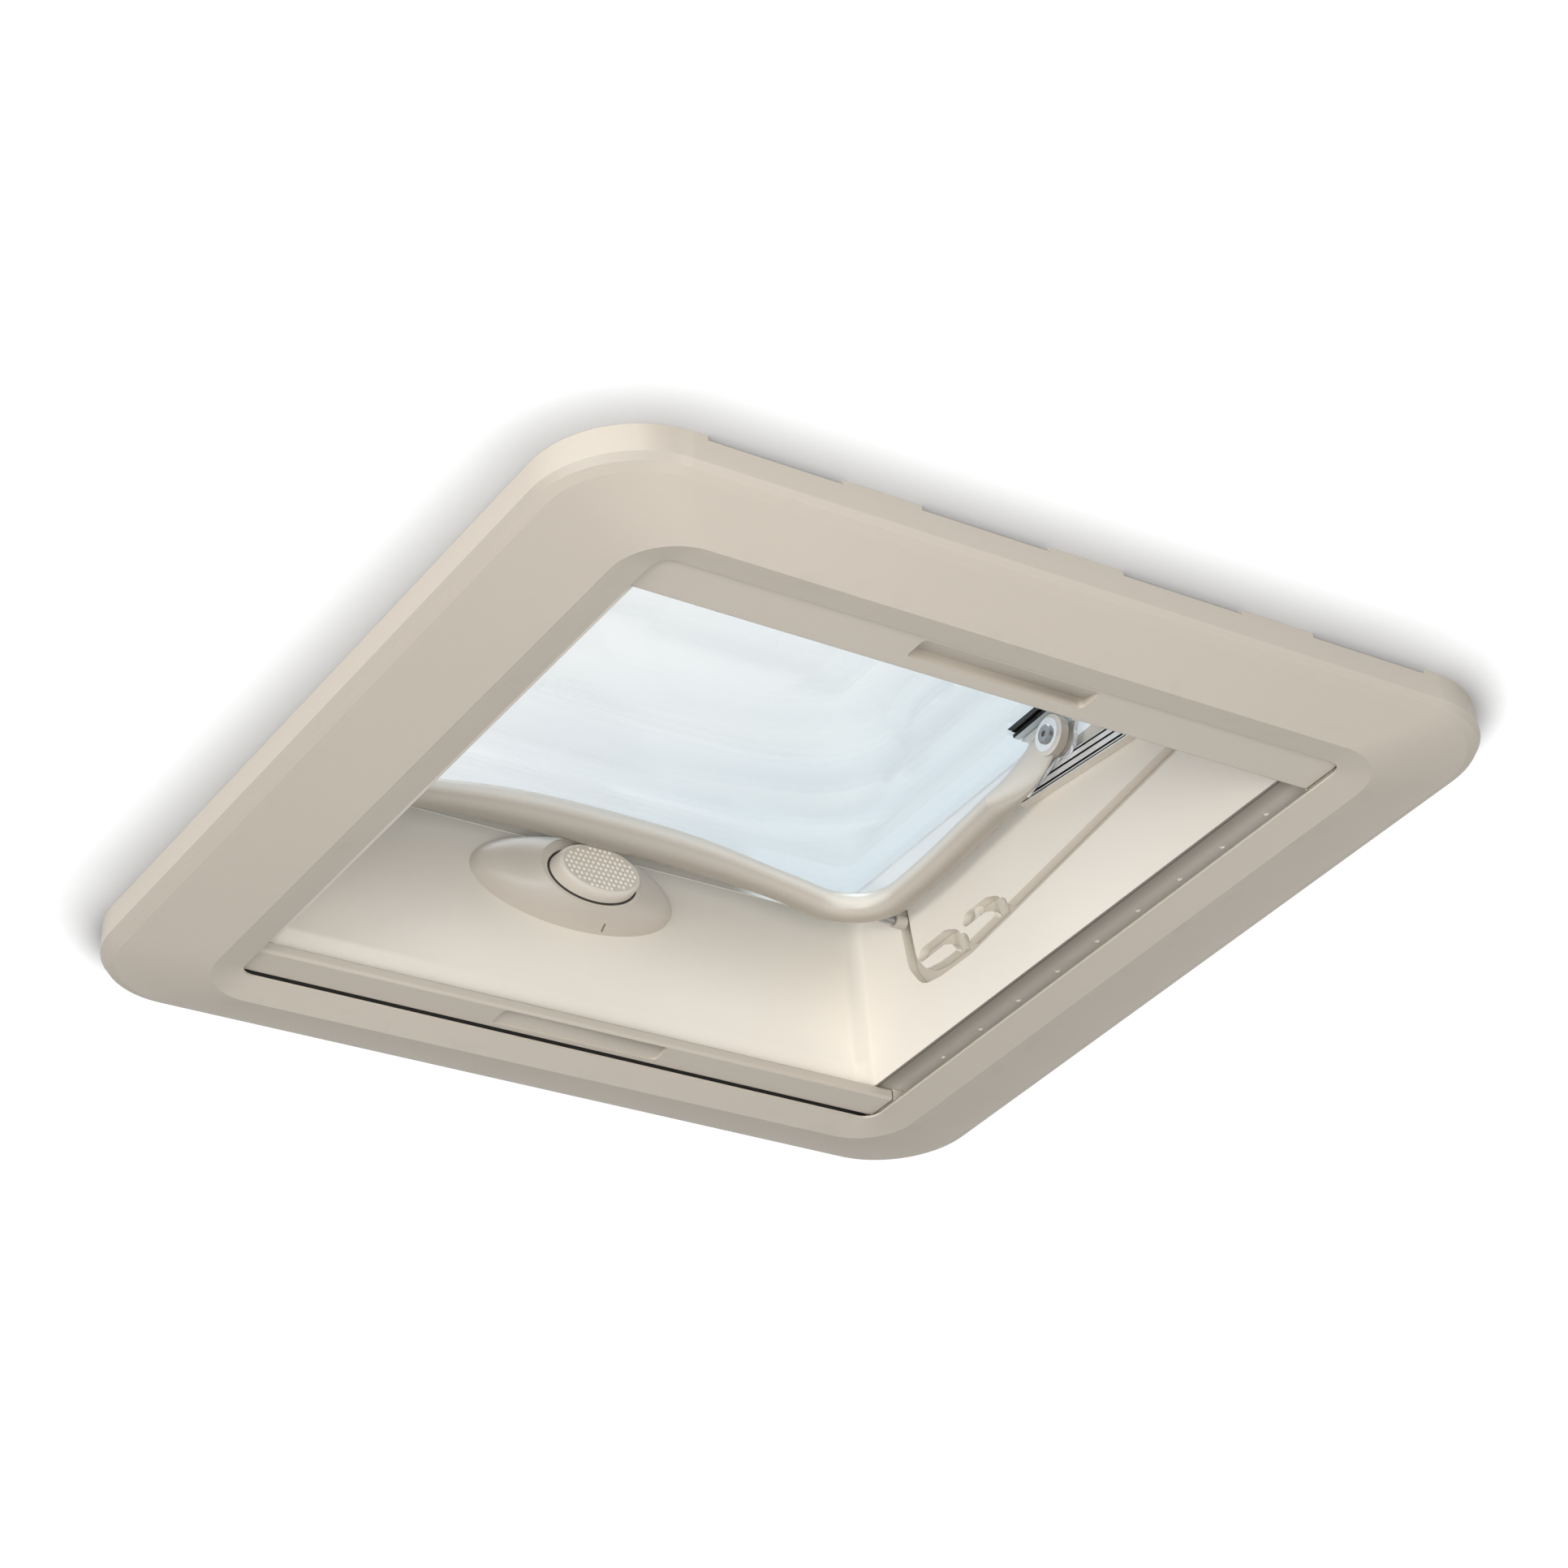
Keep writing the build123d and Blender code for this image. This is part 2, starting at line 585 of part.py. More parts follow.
def pivot_bracket():
    """The bent steel bracket under the pane that the bow and the stay hang on."""
    body = block((STRIP_IN + STRIP_WIDTH + 1, PIVOT_Y - 20, BRACKET_LOW), (EAR_OUT + 4, PIVOT_Y + 28, PAD_LOW))
    body += side_plate(EAR_IN, EAR_OUT, [
        (PIVOT_Y - 16, BRACKET_LOW), (PIVOT_Y + 26, BRACKET_LOW), (STAY_HEAD_Y + 5, STAY_HEAD_Z + 4),
        (STAY_HEAD_Y + 1, STAY_HEAD_Z - 5), (STAY_HEAD_Y - 4, STAY_HEAD_Z - 4),
        (PIVOT_Y + 6, PIVOT_Z - 7.6), (PIVOT_Y - 6, PIVOT_Z - 7.6)])
    body += rod_x(EAR_IN, EAR_OUT, PIVOT_Y, PIVOT_Z, 9.5)
    body += rod_x(EAR_IN, STAY_IN - 0.2, STAY_HEAD_Y, STAY_HEAD_Z, 5.2)
    body -= rod_x(EAR_IN - 1, EAR_OUT + 1, PIVOT_Y, PIVOT_Z, PIVOT_SCREW)
    return body


def bow_screw():
    """The shouldered pivot screw with its head and nut."""
    head_end = BOW_EYE_IN - WASHER - 0.1
    body = rod_x(head_end - 0.4, EAR_OUT + 1.4, PIVOT_Y, PIVOT_Z, PIVOT_SCREW)
    head = rod_x(head_end - SCREW_HEAD, head_end, PIVOT_Y, PIVOT_Z, 5.2)
    body += fillet(head.edges().group_by(Axis.X)[0], 1.0)
    body -= Plane(origin=(head_end - SCREW_HEAD - 0.1, PIVOT_Y, PIVOT_Z), x_dir=(0, 1, 0),
                  z_dir=(1, 0, 0)) * extrude(RegularPolygon(1.8, 6), 1.0)
    body += Plane(origin=(EAR_OUT, PIVOT_Y, PIVOT_Z), x_dir=(0, 1, 0), z_dir=(1, 0, 0)) * extrude(
        RegularPolygon(4.2, 6), 1.4)
    return body


def bow_washers():
    """The dished washer under the screw head and the spacer against the bracket."""
    washer_in = BOW_EYE_IN - WASHER - 0.1
    dished = rod_x(washer_in, washer_in + WASHER, PIVOT_Y, PIVOT_Z, 9.0)
    dished -= rod_x(washer_in - 1, washer_in + WASHER + 1, PIVOT_Y, PIVOT_Z, PIVOT_SCREW)
    spacer = rod_x(BOW_EYE_OUT + RUNNING, EAR_IN, PIVOT_Y, PIVOT_Z, 6.5)
    spacer -= rod_x(BOW_EYE_OUT, EAR_IN + 1, PIVOT_Y, PIVOT_Z, PIVOT_SCREW)
    return dished, spacer


ARM_START = (ARM_X, PIVOT_Y + 46, PIVOT_Z - 15.2)
ARM_BEND = (ARM_X, BOW_Y - 57, PIVOT_Z - 21)
ARM_CORNER = (ARM_X, BOW_Y, PIVOT_Z - 21.7)
BAR_END = (ARM_X - 48, BOW_Y, BAR_Z - 7.1)
BAR_PLACES = [(*BAR_END, ARM_RADIUS), (75, BOW_Y, BAR_Z - 2.7, BAR_RADIUS - 1.3),
              (40, BOW_Y, BAR_Z - 0.5, BAR_RADIUS - 0.3), (0, BOW_Y, BAR_Z, BAR_RADIUS)]


def bow_neck():
    """The flattened end of an arm, from the eye to the round tube."""
    middle = (BOW_EYE_IN + BOW_EYE_OUT) / 2
    half = (BOW_EYE_OUT - BOW_EYE_IN) / 2
    along = (Vector(ARM_BEND) - Vector(ARM_START)).normalized()
    sections = []
    for x, y, z, wide, tall in ((middle, PIVOT_Y + 4, PIVOT_Z - 1.5, half, 10.5),
                                (middle - 0.2, PIVOT_Y + 24, PIVOT_Z - 9.5, half + 0.6, 11.2),
                                (middle - 0.9, PIVOT_Y + 35, PIVOT_Z - 12.9, half + 3.2, 9.7)):
        sections.append(Plane(origin=(x, y, z), x_dir=(1, 0, 0), z_dir=(0, 1, -0.35)) * Ellipse(wide, tall))
    sections.append(Plane(origin=ARM_START, x_dir=(1, 0, 0), z_dir=along) * Circle(ARM_RADIUS))
    return loft(sections) + rod_x(BOW_EYE_IN, BOW_EYE_OUT, PIVOT_Y, PIVOT_Z, EYE_RADIUS)


def bow_arm():
    """The round tube of an arm, with its corner."""
    path = FilletPolyline([ARM_START, ARM_BEND, ARM_CORNER, BAR_END], radius=[300, BOW_CORNER])
    return sweep(Plane(origin=path @ 0, z_dir=path % 0) * Circle(ARM_RADIUS), path=path)


def crossbar():
    """The crossbar, which thickens and rises towards its middle."""
    places = BAR_PLACES + [(-x, y, z, radius) for x, y, z, radius in BAR_PLACES[-2::-1]]
    inward = Vector(BAR_END) - Vector(ARM_CORNER)
    outward = Vector(inward.X, 0, -inward.Z)
    path = Spline([place[:3] for place in places], tangents=[inward, outward])
    sections = []
    for x, y, z, radius in places:
        along = path % path.param_at_point((x, y, z))
        sections.append(Plane(origin=(x, y, z), x_dir=(0, 1, 0), z_dir=along) * Circle(radius))
    return loft(sections)


def bow_handle():
    """The bow in one piece: flat eyes, round arms, and a thick crossbar with a flat back for the bolt."""
    body = crossbar()
    for piece in both_sides(bow_arm()) + both_sides(bow_neck()):
        body += piece
    for piece in both_sides(bow_cuts()):
        body -= piece
    body -= block((-ARM_X, BOW_Y + BAR_FLAT, GUIDE_Z - 20), (ARM_X, BOW_Y + 2 * BAR_RADIUS, PANE_LOW))
    return body - block((-BOLT_HALF - 1.5, BOW_Y + BAR_FLAT - 3, BOLT_LOW - 0.6),
                        (BOLT_HALF + 1.5, BOW_Y + BAR_RADIUS, BOLT_HIGH + 0.6))


def bow_cuts():
    """The pivot bore and the blind bore of the guide pin."""
    bore = rod_x(BOW_EYE_IN - 1, BOW_EYE_OUT + 1, PIVOT_Y, PIVOT_Z, PIVOT_SCREW + RUNNING)
    return bore + rod_x(GUIDE_PIN_IN, ARM_X + 12, GUIDE_Y, GUIDE_Z, GUIDE_PIN)


def guide_pin():
    """The steel pin near the corner of the bow that carries the guide roller."""
    return rod_x(GUIDE_PIN_IN, GUIDE_PIN_OUT, GUIDE_Y, GUIDE_Z, GUIDE_PIN)


def guide_roller():
    """The roller on the guide pin."""
    end = GUIDE_PIN_OUT - 0.5
    roller = rod_x(end - ROLLER_LENGTH, end, GUIDE_Y, GUIDE_Z, GUIDE_ROLLER)
    return roller - rod_x(end - ROLLER_LENGTH - 1, end + 1, GUIDE_Y, GUIDE_Z, GUIDE_PIN)


STAY_RISE = atan2(STAY_HEAD_Z - STAY_FOOT_Z, STAY_HEAD_Y - STAY_FOOT_Y)
STAY_LENGTH = hypot(STAY_HEAD_Z - STAY_FOOT_Z, STAY_HEAD_Y - STAY_FOOT_Y)


def on_stay(start, end, low, high, left, right):
    """A box in the right stay: start and end run from its foot, low and high across it, left and right in X."""
    plane = Plane(origin=(0, STAY_FOOT_Y, STAY_FOOT_Z), x_dir=(0, cos(STAY_RISE), sin(STAY_RISE)),
                  z_dir=(1, 0, 0))
    return plane * block((start, low, left), (end, high, right))


BAR_IN = STAY_IN + STAY_SKIN - 0.2
BAR_OUT = STAY_OUT - STAY_SKIN - 0.5
BAR_HALF = STAY_HEIGHT / 2 - STAY_SKIN - 0.4


def stay_bar():
    """The inner bar of a stay, hinged on the wall."""
    body = on_stay(0, STAY_BAR_REACH, -BAR_HALF, BAR_HALF, BAR_IN + 0.2, BAR_OUT)
    body += rod_x(BAR_IN + 0.2, BAR_OUT, STAY_FOOT_Y, STAY_FOOT_Z, BAR_HALF)
    return body - rod_x(BAR_IN - 1, BAR_OUT + 1, STAY_FOOT_Y, STAY_FOOT_Z, STAY_PIN + RUNNING)


def stay_channel():
    """The grooved outer channel of a stay, which slides on the bar and hangs on the bracket."""
    half = STAY_HEIGHT / 2
    end = STAY_LENGTH + 9
    body = on_stay(STAY_CHANNEL_START, end, -half, half, STAY_IN, STAY_OUT)
    body -= on_stay(STAY_CHANNEL_START - 1, end + 1, -half + STAY_SKIN, half - STAY_SKIN,
                    BAR_IN, STAY_OUT - STAY_SKIN)
    body -= on_stay(STAY_CHANNEL_START - 1, end + 1, -STAY_SLOT / 2, STAY_SLOT / 2, STAY_IN - 1, BAR_IN + 1)
    return body + rod_x(STAY_IN + 0.1, STAY_OUT - 0.5, STAY_HEAD_Y, STAY_HEAD_Z, 2.9)


def stay_pin():
    """The rivet in the wall that the bar turns on."""
    pin = rod_x(BAR_IN - 1.0, WELL_X + WALL + 1.5, STAY_FOOT_Y, STAY_FOOT_Z, STAY_PIN)
    pin += rod_x(BAR_IN - 1.2, BAR_IN + 0.15, STAY_FOOT_Y, STAY_FOOT_Z, STAY_PIN + 1.6)
    pin += rod_x(BAR_OUT + RUNNING, WELL_X, STAY_FOOT_Y, STAY_FOOT_Z, STAY_PIN + 2)
    return pin + rod_x(WELL_X + WALL, WELL_X + WALL + 1.5, STAY_FOOT_Y, STAY_FOOT_Z, STAY_PIN + 2)


def wall_ellipse(y, z, half, tall):
    """An ellipse that faces the latch wall, at a distance y."""
    return Plane(origin=(0, y, z), x_dir=(1, 0, 0), z_dir=(0, 1, 0)) * Ellipse(half, tall)


def latch_housing():
    """The moulded latch housing on the wall, with the bore of its button and the slot of its bolt."""
    middle = (WELL_Y + LATCH_FRONT) / 2
    body = loft([
        wall_ellipse(WELL_Y, LATCH_Z, LATCH_HALF, LATCH_TALL),
        wall_ellipse(middle + 3.5, LATCH_Z - 0.3, LATCH_HALF - 3.5, LATCH_TALL - 1.2),
        wall_ellipse(middle - 3.5, LATCH_Z - 1.3, LATCH_HALF - 15, LATCH_TALL - 2.8),
        wall_ellipse(LATCH_FRONT, LATCH_Z - NOSE_DROP, NOSE_HALF, NOSE_TALL),
    ])
    bore = wall_ellipse(LATCH_FRONT - 1, BUTTON_Z, BUTTON_HALF + BUTTON_GAP, BUTTON_TALL + BUTTON_GAP)
    body -= extrude(bore, SPRING_SEAT - LATCH_FRONT + 1, dir=(0, 1, 0))
    body -= block((-BOLT_HALF - 0.2, LATCH_FRONT - 1, BOLT_LOW - 0.15),
                  (BOLT_HALF + 0.2, BOLT_BACK + BOLT_RATIO * BUTTON_PRESS + 1, BOLT_HIGH + 0.15))
    for x in (-LATCH_SCREW_X, LATCH_SCREW_X):
        body -= rod_y(WELL_Y - 9, WELL_Y + 1, x, LATCH_Z, LATCH_SCREW)
    return body


def latch_button():
    """The oval push button, which narrows to an oval face, with a hollow back for its spring."""
    skirt = wall_ellipse(LATCH_FRONT, BUTTON_Z, BUTTON_HALF, BUTTON_TALL)
    body = extrude(skirt, BUTTON_SKIRT, dir=(0, 1, 0))
    body += loft([
        skirt,
        wall_ellipse(LATCH_FRONT - 0.6 * BUTTON_STANDS, BUTTON_Z + 0.1, BUTTON_HALF - 0.8, BUTTON_TALL - 0.3),
        wall_ellipse(LATCH_FRONT - 0.9 * BUTTON_STANDS, BUTTON_Z + 0.2, BUTTON_HALF - 1.8, BUTTON_TALL - 0.9),
        wall_ellipse(LATCH_FRONT - BUTTON_STANDS, BUTTON_Z + 0.3, BUTTON_HALF - 3, BUTTON_TALL - 2),
    ])
    return body - rod_y(LATCH_FRONT + 2, LATCH_FRONT + BUTTON_SKIRT + 1, 0, BUTTON_Z, SPRING_RADIUS + 1.4)


def button_spring():
    """The coil spring behind the button."""
    start = LATCH_FRONT + 2 + SPRING_WIRE + 0.1
    height = SPRING_SEAT - start - SPRING_WIRE - 0.1
    coil = Helix(pitch=height / SPRING_TURNS, height=height, radius=SPRING_RADIUS)
    start_plane = Plane(origin=coil @ 0, z_dir=coil % 0)
    spring = sweep(start_plane * RegularPolygon(SPRING_WIRE, 6), path=coil, is_frenet=True)
    return Pos(0, start, BUTTON_Z) * Rot(-90, 0, 0) * spring


def latch_bolt():
    """The flat bolt that the button draws back."""
    body = block((-BOLT_HALF, BOLT_FRONT, BOLT_LOW), (BOLT_HALF, BOLT_BACK, BOLT_HIGH))
    edge = body.edges().filter_by(Axis.X).group_by(Axis.Y)[0].group_by(Axis.Z)[0]
    return chamfer(edge, BOLT_THICK / 2)


def latch_screws():
    """The screws through the wall into the latch housing."""
    screws = []
    for x in (-LATCH_SCREW_X, LATCH_SCREW_X):
        screw = rod_y(WELL_Y - 8.5, WELL_Y + WALL, x, LATCH_Z, LATCH_SCREW)
        screws.append(screw + rod_y(WELL_Y + WALL, WELL_Y + WALL + 2, x, LATCH_Z, LATCH_SCREW * 1.7))
    return screws


def side_track():
    """The right track of the blinds, a floor on the lip with an outer wall."""
    reach = PLEAT_END - 7
    floor = block((TRACK_IN, -reach, LIP_TOP), (TRACK_OUT, reach, LIP_TOP + TRACK_SKIN))
    return floor + block((TRACK_OUT - TRACK_WALL, -reach, LIP_TOP), (TRACK_OUT, reach, WELL_LOW - 0.1))


def slat(inner, outer, tail, grip):
    """A pull slat on the -Y side: a bar with a rounded inner edge, a scooped grip and a thin tail."""
    body = block((-SLAT_HALF, -outer, SLAT_LOW), (SLAT_HALF, -inner, SLAT_HIGH))
    corners = body.edges().filter_by(Axis.X).group_by(Axis.Y)[-1]
    body = fillet(corners, 1.8)
    near = -inner - grip
    far = near - GRIP_WIDTH
    scoop = side_plate(-GRIP_HALF, GRIP_HALF, [
        (near, SLAT_LOW - 1), (near, SLAT_LOW + GRIP_DEPTH), (near - 2, SLAT_LOW + GRIP_DEPTH),
        (far, SLAT_LOW + GRIP_SHALLOW), (far, SLAT_LOW - 1)])
    body -= fillet(scoop.edges().filter_by(Axis.Z), 2.4)
    if tail > outer:
        body += block((-SLAT_HALF, -tail, SLAT_HIGH - TAIL), (SLAT_HALF, -outer + 1, SLAT_HIGH))
    return body


def slat_caps(inner, outer):
    """The end caps of a slat on the -Y side, which run in the tracks."""
    cap = block((SLAT_HALF, -outer, SLAT_LOW), (SLAT_END, -inner, SLAT_HIGH))
    cap = fillet(cap.edges().filter_by(Axis.Z).group_by(Axis.X)[-1], 2.0)
    return both_sides(cap)


def pleats():
    """The folded cloth of a blind on the -Y side, packed behind its slat."""
    fold = (PLEAT_END - PLEAT_START) / (2 * PLEATS)
    rise = SLAT_HIGH - SLAT_LOW - 1
    thick = CLOTH / 2 * hypot(fold, rise) / fold
    upper = []
    lower = []
    for index in range(2 * PLEATS + 1):
        z = SLAT_LOW + 0.5 + thick + (index % 2) * (rise - 2 * thick)
        upper.append((-PLEAT_START - index * fold, z + thick))
        lower.append((-PLEAT_START - index * fold, z - thick))
    points = upper + lower[::-1]
    outline = make_face(Polyline([(-SLAT_HALF, y, z) for y, z in points], close=True))
    return extrude(outline, 2 * SLAT_HALF, dir=(1, 0, 0))


def cloth_anchor():
    """The rail on the -Y side that holds the outer end of the cloth."""
    start = PLEAT_END + SLIP
    return block((-SLAT_HALF, -start - ANCHOR, LIP_TOP + 1.25), (SLAT_HALF, -start, SLAT_HIGH + 3.3))


def turned(pieces):
    """The same pieces on the opposite side of the opening."""
    return [Rot(0, 0, 180) * piece for piece in pieces]


def write(name, pieces):
    """Write one sub-part. A list of pieces becomes a group of separate solids."""
    if isinstance(pieces, (list, tuple)):
        solids = []
        for piece in pieces:
            solids += piece.solids()
        pieces = solids[0] if len(solids) == 1 else Compound(children=solids)
    export_step(pieces, f"parts/{name}.step")


def main():
    os.makedirs("parts", exist_ok=True)
    write("ceiling_frame", ceiling_frame())
    write("well_liner", well_liner())
    write("roof_frame", roof_frame())
    write("roof_gasket", roof_gasket())
    write("dome_seal", dome_seal())
    write("liner_screws", liner_screws())
    write("frame_clips", frame_clips())
    write("dome_outer", dome_outer())
    write("dome_inner", dome_inner())
    write("hinge_leaves", hinge_leaves())
    write("hinge_pins", hinge_pins())
    write("dome_rivets", dome_rivets())
    write("bow_handle", bow_handle())
    dished, spacer = bow_washers()
    write("bow_washers", both_sides(dished))
    write("bow_spacers", both_sides(spacer))
    write("bow_screws", both_sides(bow_screw()))
    write("guide_pins", both_sides(guide_pin()))
    write("guide_rollers", both_sides(guide_roller()))
    write("stay_pins", both_sides(stay_pin()))
    write("bracket_pads", both_sides(bracket_pad()))
    write("bracket_strips", both_sides(bracket_strip()))
    for name, make in (("pivot_bracket", pivot_bracket), ("stay_bar", stay_bar), ("stay_channel", stay_channel),
                       ("side_track", side_track)):
        right, left = both_sides(make())
        write(f"{name}_right", right)
        write(f"{name}_left", left)
    write("latch_housing", latch_housing())
    write("latch_button", latch_button())
    write("button_spring", button_spring())
    write("latch_bolt", latch_bolt())
    write("latch_screws", latch_screws())
    write("blind_slat", slat(BLIND_INNER, BLIND_OUTER, BLIND_OUTER, BLIND_GRIP))
    write("blind_caps", slat_caps(BLIND_INNER, BLIND_OUTER))
    write("blind_pleats", pleats())
    write("blind_anchor", cloth_anchor())
    write("screen_slat", turned([slat(SCREEN_INNER, SCREEN_OUTER, BLIND_OUTER, SCREEN_GRIP)]))
    write("screen_caps", turned(slat_caps(SCREEN_INNER, SCREEN_OUTER)))
    write("screen_pleats", turned([pleats()]))
    write("screen_anchor", turned([cloth_anchor()]))


main()
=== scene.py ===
import math
import bmesh
import bpy
from mathutils import Matrix, Vector


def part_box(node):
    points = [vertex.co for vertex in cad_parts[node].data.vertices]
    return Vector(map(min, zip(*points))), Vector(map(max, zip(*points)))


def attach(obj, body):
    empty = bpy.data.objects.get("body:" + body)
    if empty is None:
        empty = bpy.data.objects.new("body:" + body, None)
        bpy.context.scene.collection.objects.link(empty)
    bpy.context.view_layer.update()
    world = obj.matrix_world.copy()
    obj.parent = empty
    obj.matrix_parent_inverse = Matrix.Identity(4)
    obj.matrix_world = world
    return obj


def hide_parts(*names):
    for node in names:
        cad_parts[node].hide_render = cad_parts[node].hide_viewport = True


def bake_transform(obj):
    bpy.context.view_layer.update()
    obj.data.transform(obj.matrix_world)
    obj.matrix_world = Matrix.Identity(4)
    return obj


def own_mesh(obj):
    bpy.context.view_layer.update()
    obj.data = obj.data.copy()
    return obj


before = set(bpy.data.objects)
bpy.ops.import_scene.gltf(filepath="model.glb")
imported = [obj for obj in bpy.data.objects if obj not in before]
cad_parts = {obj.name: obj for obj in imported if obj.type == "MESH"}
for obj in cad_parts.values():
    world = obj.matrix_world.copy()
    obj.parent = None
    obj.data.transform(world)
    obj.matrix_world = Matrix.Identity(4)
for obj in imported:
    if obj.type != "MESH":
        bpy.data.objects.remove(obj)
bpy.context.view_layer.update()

# The view from the room.
# The camera stands below and to one side of the opening, as a person under the ceiling does, and
# looks up into the well through a long lens.
camera_data = bpy.data.cameras.new("room_view")
camera_data.lens = 92.43
camera_data.sensor_width = 36.0
camera_data.shift_x = 0.0159
camera_data.shift_y = 0.0013
camera_data.clip_end = 50.0
camera = bpy.data.objects.new("room_view", camera_data)
bpy.context.collection.objects.link(camera)
bpy.context.scene.camera = camera
view_place = Vector((-0.956035, -1.330504, -0.959876))
view_right = Vector((0.83776807, -0.5408733, -0.074838))
view_up = Vector((-0.23246063, -0.47731653, 0.84742609))
view_back = Vector((-0.49407156, -0.69254963, -0.5256123))
view_axes = Matrix((view_right, view_up, view_back)).transposed()
camera.matrix_world = Matrix.Translation(view_place) @ view_axes.to_4x4()
bpy.context.scene.view_settings.view_transform = "Standard"


# The room: a white ceiling board with the cut-out in it, and a pale floor for looks from above.
# Each shows only to an eye on its own side. It takes the soft shadow of the fitting, and its own
# glow fades near the fitting as a painted shadow. The sky is plain white, and large soft lamps
# stand for the windows and for the daylight over the roof.
class Value:
    """Something that varies over a surface. Arithmetic on it adds Math nodes."""

    def __init__(self, finish, socket):
        self.finish = finish
        self.socket = socket

    def __add__(self, other):
        return self.finish.math("ADD", self, other)

    def __radd__(self, other):
        return self.finish.math("ADD", other, self)

    def __sub__(self, other):
        return self.finish.math("SUBTRACT", self, other)

    def __rsub__(self, other):
        return self.finish.math("SUBTRACT", other, self)

    def __mul__(self, other):
        return self.finish.math("MULTIPLY", self, other)

    def __rmul__(self, other):
        return self.finish.math("MULTIPLY", other, self)

    def __truediv__(self, other):
        return self.finish.math("DIVIDE", self, other)

    def __gt__(self, other):
        return self.finish.math("GREATER_THAN", self, other)

    def __lt__(self, other):
        return self.finish.math("LESS_THAN", self, other)

    def __abs__(self):
        return self.finish.math("ABSOLUTE", self)


class Finish:
    """A material under construction: it adds nodes and feeds the surface shader."""

    def __init__(self, name, tree=None):
        if tree is None:
            self.material = bpy.data.materials.new(name)
            self.material.use_nodes = True
            tree = self.material.node_tree
            self.surface = tree.nodes["Principled BSDF"]
        self.tree = tree

    def node(self, kind, settings, inputs, *outputs):
        """Adds a node and gives its first output, or those that are named."""
        made = self.tree.nodes.new(kind)
        for key, value in settings.items():
            setattr(made, key, value)
        for key, value in inputs.items():
            self.feed(made.inputs[key], value)
        found = [Value(self, made.outputs[output]) for output in outputs or (0,)]
        return found if len(found) > 1 else found[0]

    def feed(self, socket, value):
        if isinstance(value, Value):
            self.tree.links.new(value.socket, socket)
        else:
            socket.default_value = value

    def set(self, **values):
        """Feeds the surface shader's sockets, named in small letters."""
        for key, value in values.items():
            socket = key.replace("_", " ").title().replace("Ior", "IOR")
            self.feed(self.surface.inputs[socket], value)

    def end(self, shader):
        """Puts another shader in the place of the plain surface."""
        self.feed(self.tree.nodes["Material Output"].inputs["Surface"], shader)

    def math(self, operation, first, second=0.0):
        return self.node("ShaderNodeMath", {"operation": operation}, {0: first, 1: second})

    def larger(self, first, second):
        return self.math("MAXIMUM", first, second)

    def between(self, value, low, high):
        return (value > low) * (value < high)

    def rise(self, value, start, end):
        """Goes smoothly from 0 at start to 1 at end."""
        return self.node("ShaderNodeMapRange", {"interpolation_type": "SMOOTHSTEP"},
                         {"Value": value, "From Min": start, "From Max": end})

    def fall(self, value, start, end):
        """Goes smoothly from 1 at start to 0 at end."""
        return 1 - self.rise(value, start, end)

    def mix(self, share, first, second):
        colour_result = 2
        return self.node("ShaderNodeMix", {"data_type": "RGBA"},
                         {0: share, 6: first, 7: second}, colour_result)

    def stain(self, tone, mask, strength, colour):
        """Lays a colour over the tone where the mask is."""
        return self.mix(strength * mask, tone, colour)

    def noise(self, place, scale, detail=2.0):
        return self.node("ShaderNodeTexNoise", {},
                         {"Vector": place, "Scale": scale, "Detail": detail})

    def bump(self, height, depth):
        return self.node("ShaderNodeBump", {}, {"Height": height, "Distance": depth})

    def place(self):
        return self.node("ShaderNodeTexCoord", {}, {}, "Object")

    def split(self, vector):
        return self.node("ShaderNodeSeparateXYZ", {}, {0: vector}, "X", "Y", "Z")

    def facing(self):
        """The way that the surface faces, as three parts."""
        return self.split(self.node("ShaderNodeTexCoord", {}, {}, "Normal"))

    def seen(self):
        """1 where an eye looks, straight or by way of metal or clear plastic."""
        straight, mirrored, through = self.node("ShaderNodeLightPath", {}, {}, "Is Camera Ray",
                                                "Is Glossy Ray", "Is Transmission Ray")
        return straight + mirrored + through > 0.5


def paint(red, green, blue):
    """A colour by its screen values from 0 to 255."""
    linear = []
    for part in (red, green, blue):
        share = part / 255
        linear.append(share / 12.92 if share <= 0.04045 else ((share + 0.055) / 1.055) ** 2.4)
    return (*linear, 1.0)


def mesh_object(name, shape):
    """A finished object from a bmesh, at the origin."""
    mesh = bpy.data.meshes.new(name)
    shape.to_mesh(mesh)
    shape.free()
    made = bpy.data.objects.new(name, mesh)
    bpy.context.collection.objects.link(made)
    return made


room_half = 6.0
cut_out_half = 0.2
board_gap = 0.0002
floor_height = -0.0005
board_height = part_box("ceiling_frame")[1][2] + board_gap
board_place = (Matrix.Translation((0, 0, board_height))
               @ Matrix.Rotation(math.pi / 4, 4, "Z"))
board = bmesh.new()
for half in (cut_out_half, room_half):
    bmesh.ops.create_circle(board, segments=4, radius=half * math.sqrt(2), matrix=board_place)
bmesh.ops.bridge_loops(board, edges=board.edges[:])
bmesh.ops.recalc_face_normals(board, faces=board.faces[:])
if board.faces[:][0].normal.z > 0:
    bmesh.ops.reverse_faces(board, faces=board.faces[:])
board = mesh_object("ceiling_board", board)
floor = bmesh.new()
bmesh.ops.create_grid(floor, x_segments=1, y_segments=1, size=room_half,
                      matrix=Matrix.Translation((0, 0, floor_height)))
floor = mesh_object("pale_floor", floor)

frame_half_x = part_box("ceiling_frame")[1][0]
frame_half_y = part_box("ceiling_frame")[1][1]
frame_corner = 0.049
shadow_reach = 0.06
shadow_narrowing = 1.7
narrow_side = (-0.12, 0.08)
far_away = (0.3, 2.5)


